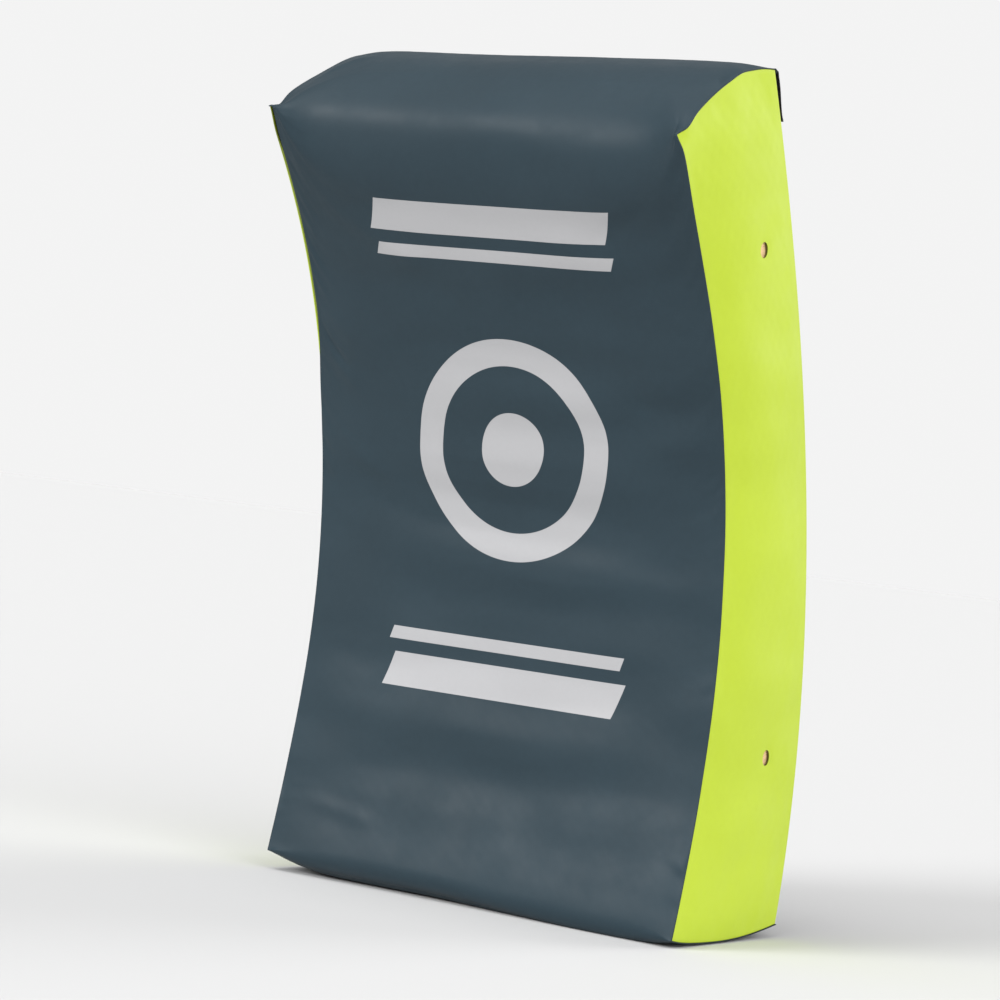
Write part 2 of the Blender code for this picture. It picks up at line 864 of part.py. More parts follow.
def build_shield():
    clear_scene()
    slate = make_material("slate_sheet", (0.056, 0.082, 0.104), 0.42)
    yellow = make_material("yellow_sheet", (0.60, 0.77, 0.065), 0.45)
    black = make_material("black_sheet", (0.012, 0.012, 0.013), 0.45)
    padded = make_material("sleeve_sheet", (0.016, 0.016, 0.017), 0.50)
    soft = make_material("soft_foam", (0.82, 0.66, 0.42), 0.95)
    light = make_material("light_foam", (0.86, 0.72, 0.48), 0.95)
    firm = make_material("firm_foam", (0.24, 0.25, 0.27), 0.92)
    webbing = make_material("black_webbing", (0.016, 0.016, 0.017), 0.70)
    hook = make_material("hook_tape", (0.020, 0.020, 0.021), 0.80)
    loop = make_material("loop_tape", (0.014, 0.014, 0.015), 0.95)
    tape = make_material("zip_tape", (0.018, 0.018, 0.019), 0.75)
    teeth = make_material("zip_teeth", (0.025, 0.025, 0.026), 0.35)
    metal = make_material("slider_metal", (0.05, 0.05, 0.053), 0.38, 0.3)
    shield = make_empty("hit_shield", (0, 0, 0))
    make_strike_wrap(slate, shield)
    make_gusset("gusset_left", -1, yellow, shield)
    make_gusset("gusset_right", 1, yellow, shield)
    make_back_panel(black, shield)
    make_foam(soft, light, firm, shield)
    make_zip(tape, teeth, loop, shield)
    make_holds(black, webbing, padded, shield)
    hinge_place = band_point(0, flap_start, flap_start_lift + sheet / 2)
    flap_hinge = make_empty("flap_hinge", hinge_place, shield)
    make_flap(black, hook, flap_hinge)
    zip_travel = make_empty("zip_travel", band_point(slider_place, chain_middle, chain_out), shield)
    make_slider(metal, webbing, zip_travel)
    print("flap hinge at", tuple(flap_hinge.location))
    print("zip slider at", tuple(zip_travel.location), "travel", slider_travel)


build_shield()
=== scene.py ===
# Rugby hit shield: the looks of the sewn cover, foam, straps and zip, built round the CAD frame.
# Metres, +Z up. The strike face looks along -Y and the holder stands at +Y.

from math import cos, pi, radians, sin

import bmesh
import bpy
import numpy as np
from mathutils import Matrix, Vector

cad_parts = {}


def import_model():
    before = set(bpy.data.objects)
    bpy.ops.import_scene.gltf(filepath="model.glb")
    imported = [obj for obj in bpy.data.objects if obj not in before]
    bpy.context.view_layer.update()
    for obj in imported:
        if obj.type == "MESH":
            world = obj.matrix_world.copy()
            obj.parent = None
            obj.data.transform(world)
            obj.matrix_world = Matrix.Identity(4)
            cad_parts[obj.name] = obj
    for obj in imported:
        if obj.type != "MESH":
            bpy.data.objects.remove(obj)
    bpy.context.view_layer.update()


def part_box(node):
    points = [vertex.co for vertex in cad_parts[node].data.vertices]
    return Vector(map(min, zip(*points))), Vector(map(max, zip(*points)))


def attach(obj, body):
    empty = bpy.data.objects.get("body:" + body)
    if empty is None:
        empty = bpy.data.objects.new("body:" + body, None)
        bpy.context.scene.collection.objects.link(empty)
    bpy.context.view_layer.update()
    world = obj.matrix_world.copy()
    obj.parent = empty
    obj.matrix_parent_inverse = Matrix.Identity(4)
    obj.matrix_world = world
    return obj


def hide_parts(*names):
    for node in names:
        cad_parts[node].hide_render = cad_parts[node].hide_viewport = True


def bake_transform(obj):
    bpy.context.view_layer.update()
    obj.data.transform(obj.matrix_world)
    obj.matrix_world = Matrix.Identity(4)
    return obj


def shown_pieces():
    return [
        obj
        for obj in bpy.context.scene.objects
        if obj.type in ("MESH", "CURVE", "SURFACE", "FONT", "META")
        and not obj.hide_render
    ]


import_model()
print("stage: frame loaded")

# The side outline, as the CAD has it: every point is (y, z)

pad = {
    "width": 0.450,
    "baseDepth": 0.1856,
    "seamLift": 0.0115,
    "frontHeight": 0.6966,
    "frontLean": 0.1275,
    "frontSag": 0.0827,
    "frontSkew": 0.12,
    "backHeight": 0.7712,
    "backLean": 0.1681,
    "backSag": 0.0583,
    "backSkew": -0.134,
    "topArch": 0.0145,
    "topSkew": 0.35,
    "bottomArch": 0.0100,
    "bottomSkew": -0.15,
}


def flat(y, z):
    return np.array([y, z], float)


def smoothStep(value, low, high):
    share = np.clip((value - low) / (high - low), 0, 1)
    return share * share * (3 - 2 * share)


def unit(vectors):
    return vectors / np.maximum(np.linalg.norm(vectors, axis=-1, keepdims=True), 1e-12)


frontBottom = flat(-pad["baseDepth"] / 2, pad["seamLift"])
backBottom = flat(pad["baseDepth"] / 2, pad["seamLift"])
frontTop = frontBottom + flat(-pad["frontLean"], pad["frontHeight"])
backTop = backBottom + flat(-pad["backLean"], pad["backHeight"])
topRun = backTop - frontTop
topLength = float(np.linalg.norm(topRun))
topUp = flat(-topRun[1], topRun[0]) / topLength
backLength = float(np.hypot(pad["backLean"], pad["backHeight"]))
# How long the front edge is along its curve
frontLength = 0.732
sideCorners = {
    "frontBottom": frontBottom,
    "frontTop": frontTop,
    "backBottom": backBottom,
    "backTop": backTop,
}
sideEdges = {
    "front": ("frontBottom", "frontTop", flat(pad["frontSag"], 0), pad["frontSkew"], 1),
    "back": ("backBottom", "backTop", flat(pad["backSag"], 0), pad["backSkew"], -1),
    "top": ("frontTop", "backTop", topUp * pad["topArch"], pad["topSkew"], 1),
    "bottom": ("frontBottom", "backBottom", flat(0, -pad["bottomArch"]), pad["bottomSkew"], -1),
}


def bow(share, skew=0.0):
    return 4 * share * (1 - share) * (1 + skew * (2 * share - 1))


def edgeLine(name, share, corners=sideCorners):
    start, end, bulge, skew, side = sideEdges[name]
    share = np.asarray(share, float)[..., None]
    return corners[start] * (1 - share) + corners[end] * share + bulge * bow(share, skew)


def edgeNormal(name, share, step=0.001):
    share = np.asarray(share, float)
    run = unit(edgeLine(name, share + step) - edgeLine(name, share - step))
    return np.stack([-run[..., 1], run[..., 0]], -1) * sideEdges[name][4]


def insetCorners(front=0.0, top=0.0, back=0.0, bottom=0.0):
    insets = {"front": front, "top": top, "back": back, "bottom": bottom}
    moved = {}
    for upright in ("front", "back"):
        for level in ("Bottom", "Top"):
            first = edgeNormal(upright, 1.0 if level == "Top" else 0.0)
            second = edgeNormal(level.lower(), 1.0 if upright == "back" else 0.0)
            cross = first[0] * second[1] - first[1] * second[0]
            a, b = insets[upright], insets[level.lower()]
            shift = flat(b * first[1] - a * second[1], a * second[0] - b * first[0]) / cross
            moved[upright + level] = sideCorners[upright + level] + shift
    return moved


def sidePoint(corners, depth, height):
    # Points inside the side outline, blended from its four edges
    bottom = edgeLine("bottom", depth, corners)
    top = edgeLine("top", depth, corners)
    front = edgeLine("front", height, corners)
    back = edgeLine("back", height, corners)
    depth = np.asarray(depth, float)[..., None]
    height = np.asarray(height, float)[..., None]
    low = corners["frontBottom"] * (1 - depth) + corners["backBottom"] * depth
    high = corners["frontTop"] * (1 - depth) + corners["backTop"] * depth
    across = front * (1 - depth) + back * depth
    return bottom * (1 - height) + top * height + across - low * (1 - height) - high * height


# Unevenness of the soft pad. Each bump has its middle, its reach and how far it moves the cloth.

softBumps = {
    "leftShoulderSags": ((-0.235, -0.138, 0.752), (0.035, 0.052, 0.080), (0, 0, -0.0105)),
    "leftEarStands": ((-0.225, -0.220, 0.708), (0.020, 0.012, 0.016), (0, 0, 0.0055)),
    "leftEarDips": ((-0.225, -0.205, 0.718), (0.013, 0.010, 0.020), (0, 0.0010, -0.0035)),
    "leftEdgeDrawsIn": ((-0.230, -0.165, 0.520), (0.055, 0.100, 0.230), (0.0050, 0, 0)),
    "leftFootSpreads": ((-0.230, -0.100, 0.080), (0.050, 0.120, 0.150), (-0.0060, 0, 0)),
    "leftFootLifts": ((-0.235, -0.100, 0.000), (0.035, 0.100, 0.050), (0, 0, 0.0070)),
    "footRollSags": ((0.135, -0.100, 0.010), (0.120, 0.050, 0.040), (0, 0, -0.0090)),
    "rightSeamDrawsIn": ((0.230, -0.150, 0.480), (0.050, 0.080, 0.250), (-0.0025, 0, 0)),
    "rightShoulderDrawsIn": ((0.230, -0.175, 0.610), (0.050, 0.060, 0.150), (-0.0045, 0, 0)),
    "topSeamStands": ((0.225, -0.130, 0.770), (0.020, 0.014, 0.012), (0, 0, 0.0015)),
    "rightEarDips": ((0.225, -0.208, 0.717), (0.013, 0.009, 0.020), (0, 0.0010, -0.0032)),
    "rightEarReaches": ((0.225, -0.220, 0.708), (0.012, 0.009, 0.012), (-0.0035, 0, -0.0010)),
}


def soften(points):
    moved = np.array(points, float)
    for middle, reach, push in softBumps.values():
        away = ((points - np.array(middle)) / reach) ** 2
        moved = moved + np.exp(-away.sum(-1))[..., None] * np.array(push)
    moved[..., 2] = np.maximum(moved[..., 2], 0.0)
    return moved


# Numbers, noise and mesh helpers


noiseCells = 256


def lattice(x, y, seed):
    # Smooth noise from -1 to 1 on a seeded lattice of unit cells
    table = np.random.default_rng(seed).uniform(-1, 1, (noiseCells, noiseCells))
    x, y = np.broadcast_arrays(np.asarray(x, float), np.asarray(y, float))
    i, j = np.floor(x).astype(int), np.floor(y).astype(int)
    u, v = (t * t * t * (t * (6 * t - 15) + 10) for t in (x - i, y - j))
    a, b, c, d = (table[(i + right) % noiseCells, (j + up) % noiseCells] for up in (0, 1) for right in (0, 1))
    return (a * (1 - u) + b * u) * (1 - v) + (c * (1 - u) + d * u) * v


def layered(x, y, seed, layers):
    return sum(lattice(x * 2**layer, y * 2**layer, seed + layer) / 2**layer for layer in range(layers))


def signedPower(value, power):
    # Turns the cosines and sines of a circle into those of a squarer or slimmer section
    return np.sign(value) * abs(value) ** power


def turnAngles(count):
    return np.linspace(0, 2 * pi, count + 1)[:-1]


def gridNormals(points):
    # Outward normals of a grid whose rows run down the sheet and whose columns run towards +X
    return unit(np.cross(np.gradient(points, axis=0), np.gradient(points, axis=1)))


def gridFaces(rows, columns, start=0, flip=False):
    here = start + np.arange(rows * columns).reshape(rows, columns)[:-1, :-1].ravel()
    faces = np.stack([here, here + columns, here + columns + 1, here + 1], 1)
    return faces[:, ::-1] if flip else faces


def sheetMesh(name, outer, normals, thickness, across, down):
    # A closed sheet: its outer grid, its inner grid and the rim between them
    rows, columns = outer.shape[:2]
    count = rows * columns
    index = np.arange(count).reshape(rows, columns)
    around = np.concatenate([index[0], index[1:, -1], index[-1, -2::-1], index[-2:0:-1, 0]])
    following = np.roll(around, -1)
    rim = np.stack([around, following, following + count, around + count], 1)
    faces = np.concatenate([gridFaces(rows, columns), gridFaces(rows, columns, count, True), rim])
    points = np.concatenate([outer.reshape(-1, 3), (outer - normals * thickness).reshape(-1, 3)])
    plan = np.stack([across.ravel(), down.ravel()], 1)
    return meshObject(name, points, faces, np.concatenate([plan, plan]))


def meshObject(name, points, faces, plan=None, smooth=True):
    mesh = bpy.data.meshes.new(name)
    mesh.from_pydata([tuple(p) for p in points], [], [tuple(int(i) for i in f) for f in faces])
    if plan is not None:
        corners = np.zeros(len(mesh.loops), np.int32)
        mesh.loops.foreach_get("vertex_index", corners)
        layer = mesh.uv_layers.new(name="clothPlan")
        layer.data.foreach_set("uv", np.asarray(plan, np.float32)[corners].ravel())
    mesh.validate()
    shape = bmesh.new()
    shape.from_mesh(mesh)
    bmesh.ops.recalc_face_normals(shape, faces=shape.faces)
    shape.to_mesh(mesh)
    shape.free()
    if smooth:
        mesh.shade_smooth()
        mesh.set_sharp_from_angle(angle=radians(50))
    piece = bpy.data.objects.new(name, mesh)
    bpy.context.scene.collection.objects.link(piece)
    return piece


def dress(piece, slotName, body, node):
    piece.data.materials.clear()
    piece.data.materials.append(finishes[slotName])
    if body:
        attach(piece, body)
    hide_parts(node)
    return piece


def world(across, side):
    # (x, (y, z)) to points in space
    across, y, z = np.broadcast_arrays(np.asarray(across, float), side[..., 0], side[..., 1])
    return np.stack([across, y, z], -1)


def applyModifiers(piece):
    bpy.context.view_layer.update()
    graph = bpy.context.evaluated_depsgraph_get()
    mesh = bpy.data.meshes.new_from_object(piece.evaluated_get(graph), depsgraph=graph)
    piece.modifiers.clear()
    piece.data = mesh


def tubeMesh(name, rings, girth, along, hollow=None):
    # A closed body from rings along a line, capped at its ends, or open through a hollow of rings
    count, sides = rings.shape[:2]
    plan = np.stack([np.broadcast_to(part, (count, sides)).ravel() for part in (girth, along)], 1)
    faces = tubeFaces(count, sides, 0)
    if hollow is None:
        faces += [tuple(range(sides)), tuple(range((count - 1) * sides, count * sides))]
        return meshObject(name, rings.reshape(-1, 3), faces, plan)
    start = count * sides
    faces += tubeFaces(count, sides, start)
    for first in (0, (count - 1) * sides):
        for turn in range(sides):
            here, there = first + turn, first + (turn + 1) % sides
            faces.append((here, there, there + start, here + start))
    points = np.concatenate([rings.reshape(-1, 3), hollow.reshape(-1, 3)])
    return meshObject(name, points, faces, np.concatenate([plan, plan]))


def tubeFaces(count, sides, start):
    faces = []
    for ring in range(count - 1):
        for turn in range(sides):
            following = (turn + 1) % sides
            here, there = start + ring * sides, start + (ring + 1) * sides
            faces.append((here + turn, here + following, there + following, there + turn))
    return faces


# Stitches: short thread capsules laid along a line on the cloth

stitch = {
    "pitch": 0.0046,
    "length": 0.0033,
    "radius": 0.00032,
    "sides": 6,
}
# Each section's place along the stitch, its girth and its rise, in half lengths and radii
stitchSections = ((-1, 0.35, -1), (-0.72, 0.9, 0.15), (0, 1, 0.35), (0.72, 0.9, 0.15), (1, 0.35, -1))


def runLengths(line):
    # How far along a line each of its points lies
    return np.concatenate([[0], np.cumsum(np.linalg.norm(np.diff(line, axis=0), axis=1))])


def evenly(line, pitch):
    # Places a pitch apart along a line of points, with the line's direction there
    reach = runLengths(line)
    count = max(int(round(reach[-1] / pitch)), 1)
    places = (np.arange(count) + 0.5) * reach[-1] / count

    def at(distance):
        return np.stack([np.interp(distance, reach, line[:, axis]) for axis in range(3)], 1)

    return at(places), unit(at(places + pitch / 4) - at(places - pitch / 4))


def stitchMesh(name, runs):
    # Each run is a line of points on the cloth and the direction, or directions, out of it
    points, faces, sides = [], [], stitch["sides"]
    for line, out in runs:
        out = np.broadcast_to(np.asarray(out, float), line.shape)
        places, along = evenly(line, stitch["pitch"])
        nearest = np.argmin(np.linalg.norm(line[None] - places[:, None], axis=2), axis=1)
        for place, run, up in zip(places, along, unit(out[nearest])):
            side = unit(np.cross(run, up))
            start = len(points)
            for reach, girth, rise in stitchSections:
                middle = place + run * reach * stitch["length"] / 2 + up * rise * stitch["radius"]
                for angle in turnAngles(sides):
                    spoke = side * cos(angle) + up * sin(angle)
                    points.append(middle + spoke * girth * stitch["radius"])
            faces += tubeFaces(len(stitchSections), sides, start)
            faces += [tuple(range(start, start + sides)), tuple(range(len(points) - sides, len(points)))]
    piece = meshObject(name, points, faces)
    piece.data.materials.append(blackThread)
    return piece


# Materials


def shade(colour, factor):
    return (*[min(channel * factor, 1.0) for channel in colour], 1.0)


class Nodes:
    # A short way to wire a material's nodes
    def __init__(self, name):
        self.material = bpy.data.materials.new(name)
        self.material.use_nodes = True
        self.tree = self.material.node_tree
        self.place = self.add("ShaderNodeTexCoord").outputs["Object"]

    def fill(self, node, values):
        for key, value in dict(values).items():
            if isinstance(value, bpy.types.NodeSocket):
                self.tree.links.new(value, node.inputs[key])
            else:
                node.inputs[key].default_value = value

    def add(self, kind, values=(), **settings):
        node = self.tree.nodes.new(kind)
        for key, value in settings.items():
            setattr(node, key, value)
        self.fill(node, values)
        return node

    def plan(self):
        # Across and down on the piece's flat cloth plan
        flatPlan = self.add("ShaderNodeUVMap", uv_map="clothPlan").outputs["UV"]
        return self.add("ShaderNodeSeparateXYZ", {0: flatPlan}).outputs[:2]

    def math(self, operation, *values):
        return self.add("ShaderNodeMath", enumerate(values), operation=operation).outputs[0]

    def ripple(self, value, pitch):
        return self.math("SINE", self.math("MULTIPLY", value, 2 * pi / pitch))

    def ramp(self, value, low, high, start=0.0, end=1.0):
        values = {"Value": value, "From Min": low, "From Max": high, "To Min": start, "To Max": end}
        return self.add("ShaderNodeMapRange", values, interpolation_type="SMOOTHSTEP").outputs["Result"]

    def noise(self, scale, detail, rough=0.5, place=None):
        values = {"Vector": place or self.place, "Scale": scale, "Detail": detail, "Roughness": rough}
        return self.add("ShaderNodeTexNoise", values).outputs["Fac"]

    def cells(self, scale):
        return self.add("ShaderNodeTexVoronoi", {"Vector": self.place, "Scale": scale}).outputs["Distance"]

    def mix(self, share, first, second):
        return self.add("ShaderNodeMix", {"Factor": share, 6: first, 7: second}, data_type="RGBA").outputs[2]

    def tone(self, share, colour, dark, light):
        # From a darker to a lighter shade of a colour
        return self.mix(self.ramp(share, 0.3, 0.7), shade(colour, dark), shade(colour, light))

    def bump(self, height, strength, distance, before=()):
        values = {"Height": height, "Strength": strength, "Distance": distance}
        return self.add("ShaderNodeBump", {**values, **dict(before)}).outputs["Normal"]

    def finish(self, **values):
        names = {
            "colour": "Base Color",
            "rough": "Roughness",
            "normal": "Normal",
            "metallic": "Metallic",
            "gloss": "Specular IOR Level",
            "sheen": "Sheen Weight",
        }
        self.fill(self.tree.nodes["Principled BSDF"], {names[key]: value for key, value in values.items()})
        return self.material


# Colour, roughness, height of the grain, drift of the tone, height of the soft hollows, gloss
coatedSheets = {
    "slate": ((0.0195, 0.0364, 0.0480), 0.50, 0.10, 0.07, 0.0150, 0.20),
    "yellow": ((0.450, 0.574, 0.031), 0.50, 0.06, 0.03, 0.0090, 0.26),
    "black": ((0.0120, 0.0120, 0.0130), 0.42, 0.14, 0.12, 0.0120, 0.40),
    "sleeve": ((0.0125, 0.0125, 0.0134), 0.50, 0.20, 0.12, 0.0010, 0.40),
}
# Painted seam shade by the sewn edges on the flat plan: middle, half size, the painted line's width and how
# dark it is
paintedSeamShade = {
    "slate": ((0.0, 0.0), (0.2252, 9.0), 0.0002, 0.60),
    "yellow": ((0.080, 0.360), (0.080, 0.360), 0.0006, 0.35),
}
scrimPitch = 0.0012
# The silver print, in metres across and down the face, its ink when worn and when fresh
strikeMarks = {
    "middle": 0.352,
    "ring": (0.078, 0.104),
    "dot": 0.034,
    "bars": ((0.118, 0.150), (0.162, 0.174), (0.530, 0.542), (0.554, 0.586)),
    "barHalf": 0.128,
    "slant": 0.35,
    "edge": 0.0004,
    "ink": ((0.31, 0.31, 0.32, 1), (0.38, 0.38, 0.39, 1)),
    "inkRough": 0.38,
}


def coatedSheet(key, printed=False):
    # PVC-coated cloth: the scrim shows faintly through a satin coat with fine grain and soft scuffs
    base, roughness, grainHeight, drift, wave, gloss = coatedSheets[key]
    net = Nodes(key + "CoatedSheet")
    plan = net.plan()
    broad, fine = net.noise(7.0, 4.0, 0.55), net.noise(160.0, 3.0, 0.6)
    tone = net.math("ADD", net.math("MULTIPLY", broad, 0.7), net.math("MULTIPLY", fine, 0.3))
    colour = net.tone(tone, base, 1 - drift, 1 + drift)
    rough = net.ramp(net.noise(22.0, 5.0, 0.6), 0.3, 0.72, roughness - 0.05, roughness + 0.07)
    if printed:
        mark = printMask(net, *plan)
        wornInk = net.ramp(net.noise(240.0, 4.0, 0.6), 0.25, 0.8, 0.93, 1.04)
        colour = net.mix(mark, colour, net.mix(wornInk, *strikeMarks["ink"]))
        rough = net.ramp(mark, 0.0, 1.0, rough, strikeMarks["inkRough"])
    # Painted shade along the seams, in place of the shadow in the seam's groove
    if key in paintedSeamShade:
        colour = net.mix(seamPaintedShade(net, plan, key), colour, shade(base, paintedSeamShade[key][3]))
    weave = net.math("MULTIPLY", *[net.ripple(place, scrimPitch) for place in plan])
    height = net.math("ADD", net.math("MULTIPLY", weave, 0.25), net.noise(1400.0, 2.0))
    # Soft hollows, wider than they are tall
    wide = net.add("ShaderNodeMapping", {"Vector": net.place, "Scale": (4.0, 6.0, 11.0)}).outputs["Vector"]
    hollows = net.bump(net.noise(1.0, 1.0, 0.35, wide), 1.0, wave)
    normal = net.bump(height, grainHeight, 0.0002, {"Normal": hollows})
    return net.finish(colour=colour, rough=rough, normal=normal, gloss=gloss, sheen=0.02)


def seamPaintedShade(net, plan, key):
    # Painted shade: a darker line where a sheet turns into its seam, standing in for the shadow in the seam's
    # groove
    middles, halves, width, _ = paintedSeamShade[key]
    lines = []
    for place, middle, half in zip(plan, middles, halves):
        off = net.math("ABSOLUTE", net.math("SUBTRACT", place, middle))
        lines.append(net.ramp(off, half - 1.6 * width, half - 0.6 * width))
    return net.math("MAXIMUM", *lines)


def printMask(net, across, down):
    # A plain target ring with a dot, and slanted bars above and below it
    def within(value, end):
        return net.ramp(value, end, end + strikeMarks["edge"], 1, 0)

    def between(value, start, end):
        return net.math("MULTIPLY", net.ramp(value, start, start + strikeMarks["edge"]), within(value, end))

    off = net.math("SUBTRACT", down, strikeMarks["middle"])
    squares = net.math("ADD", net.math("MULTIPLY", across, across), net.math("MULTIPLY", off, off))
    reach = net.math("SQRT", squares)
    mask = net.math("MAXIMUM", between(reach, *strikeMarks["ring"]), within(reach, strikeMarks["dot"]))
    for top, bottom in strikeMarks["bars"]:
        shift = net.math("MULTIPLY", net.math("SUBTRACT", down, (top + bottom) / 2), strikeMarks["slant"])
        run = net.math("ABSOLUTE", net.math("ADD", across, shift))
        bar = net.math("MULTIPLY", between(down, top, bottom), within(run, strikeMarks["barHalf"]))
        mask = net.math("MAXIMUM", mask, bar)
    return mask


weaveLook = {
    "yarn": 0.0016,
    "rib": 0.0022,
    "lean": 0.6,
    "dark": (0.008, 0.008, 0.0085, 1),
    "light": (0.030, 0.030, 0.032, 1),
}


def webbingMaterial():
    # Woven polypropylene webbing: ribs across it and fine yarn, over black, the raised weave painted lighter
    # and its hollows darker as painted highlight and shade
    net = Nodes("blackWebbing")
    across, down = net.plan()
    lean = net.math("ADD", down, net.math("MULTIPLY", net.math("ABSOLUTE", across), weaveLook["lean"]))
    yarn, rib = net.ripple(across, weaveLook["yarn"]), net.ripple(lean, weaveLook["rib"])
    weave = net.math("MULTIPLY", net.math("ADD", yarn, 1.2), net.math("ADD", rib, 1.2))
    fuzz = net.noise(900.0, 3.0, 0.6)
    # Painted highlight and shade: lighter where the weave stands up, darker in the hollows between yarns
    colour = net.mix(net.ramp(weave, 0.0, 3.5), weaveLook["dark"], weaveLook["light"])
    height = net.math("ADD", net.math("MULTIPLY", weave, 0.3), net.math("MULTIPLY", fuzz, 0.4))
    rough = net.ramp(fuzz, 0.2, 0.8, 0.6, 0.82)
    return net.finish(colour=colour, rough=rough, normal=net.bump(height, 0.5, 0.0004), sheen=0.15)


def pileMaterial(name, colour, scale, rough):
    # Hook or loop tape: dense speckle with a fuzzy sheen
    net = Nodes(name)
    fuzz = net.noise(scale * 0.7, 4.0, 0.7)
    normal = net.bump(net.math("SUBTRACT", fuzz, net.cells(scale)), 0.8, 0.0006)
    return net.finish(colour=net.tone(fuzz, colour, 0.5, 2.0), rough=rough, normal=normal, sheen=0.3)


def foamMaterial(name, colour, scale):
    # Open or closed cell foam: pores of two sizes in a warm, matt body, the pores painted darker as painted
    # shade in the cells
    net = Nodes(name)
    pores = net.ramp(net.cells(scale), 0.05, 0.45)
    body = net.tone(net.noise(30.0, 4.0, 0.6), colour, 0.88, 1.1)
    # Painted shade: the pores take a darker copy of the foam's colour
    tone = net.mix(pores, shade(colour, 0.55), body)
    return net.finish(colour=tone, rough=0.95, normal=net.bump(pores, 0.6, 0.0008), sheen=0.1)


def mouldedMaterial(name, colour, rough, metallic=0.0):
    # Moulded or painted small parts: even colour, faint mottling, rubbed edges
    net = Nodes(name)
    mottle = net.noise(300.0, 4.0, 0.6)
    level = net.ramp(net.noise(90.0, 3.0), 0.3, 0.7, rough - 0.06, rough + 0.08)
    tone, normal = net.tone(mottle, colour, 0.85, 1.2), net.bump(mottle, 0.08, 0.0002)
    return net.finish(colour=tone, rough=level, normal=normal, metallic=metallic)


def threadMaterial(name, colour):
    net = Nodes(name)
    twist = net.noise(2400.0, 2.0)
    normal = net.bump(twist, 0.4, 0.0001)
    return net.finish(colour=net.tone(twist, colour, 0.7, 1.3), rough=0.62, normal=normal, sheen=0.2)


# The material of each slot
finishes = {
    "slate_sheet": coatedSheet("slate", printed=True),
    "yellow_sheet": coatedSheet("yellow"),
    "black_sheet": coatedSheet("black"),
    "sleeve_sheet": coatedSheet("sleeve"),
    "black_webbing": webbingMaterial(),
    "loop_tape": pileMaterial("loopPile", (0.014, 0.014, 0.015), 900.0, 0.92),
    "hook_tape": pileMaterial("hookPile", (0.022, 0.022, 0.023), 1300.0, 0.75),
    "zip_tape": pileMaterial("zipCloth", (0.018, 0.018, 0.019), 1500.0, 0.8),
    "soft_foam": foamMaterial("softFoam", (0.82, 0.60, 0.34), 700.0),
    "light_foam": foamMaterial("lightFoam", (0.92, 0.62, 0.34), 500.0),
    "firm_foam": foamMaterial("firmFoam", (0.24, 0.25, 0.27), 1100.0),
    "zip_teeth": mouldedMaterial("zipPlastic", (0.025, 0.025, 0.026), 0.32),
    "slider_metal": mouldedMaterial("sliderPaint", (0.05, 0.05, 0.053), 0.34, 0.3),
}
blackThread = threadMaterial("blackThread", (0.030, 0.030, 0.032))
print("stage: materials made")

# Wrinkles

wrinkles = {
    "puckerHeight": 0.0009,
    "puckerPitch": 0.0105,
    "puckerReach": 0.012,
    "puckerStart": 0.0025,
    "calmLength": 0.05,
    "dimpleHeight": 0.0005,
}
slack = {
    "strength": 0.9,
    "frames": 20,
    "pressure": 2.0,
    "spareDown": 1.05,
    "spareAcross": 1.004,
    "hold": 0.07,
    "bending": 20.0,
    "stretch": 15.0,
    "cap": 0.0015,
    "start": 0.0003,
    "broad": 0.075,
    "quality": 6,
    "startCells": (7, 12),
}


def seamPucker(along, away, seed, height=1.0):
    # Short ridges that run in from a sewn edge, some strong and some faint
    wave = layered(along / wrinkles["puckerPitch"], away / 0.05, seed, 2)
    calm = np.clip(0.45 + 0.75 * lattice(along / wrinkles["calmLength"], away * 0, seed + 9), 0.05, 1.3)
    fade = np.exp(-away / wrinkles["puckerReach"]) * (1 - np.exp(-away / wrinkles["puckerStart"]))
    return wrinkles["puckerHeight"] * height * wave * calm * fade


def creases(across, down, lines):
    # Faint folds, each from one place to another
    total = 0.0
    for x0, y0, x1, y1, width, height in lines:
        run = np.array([x1 - x0, y1 - y0])
        length = np.hypot(*run)
        along = ((across - x0) * run[0] + (down - y0) * run[1]) / length
        away = ((across - x0) * -run[1] + (down - y0) * run[0]) / length
        ends = np.clip(along / (0.35 * length), 0, 1) * np.clip((length - along) / (0.35 * length), 0, 1)
        total = total + height * np.exp(-((away / width) ** 2)) * ends * ends * (3 - 2 * ends)
    return total


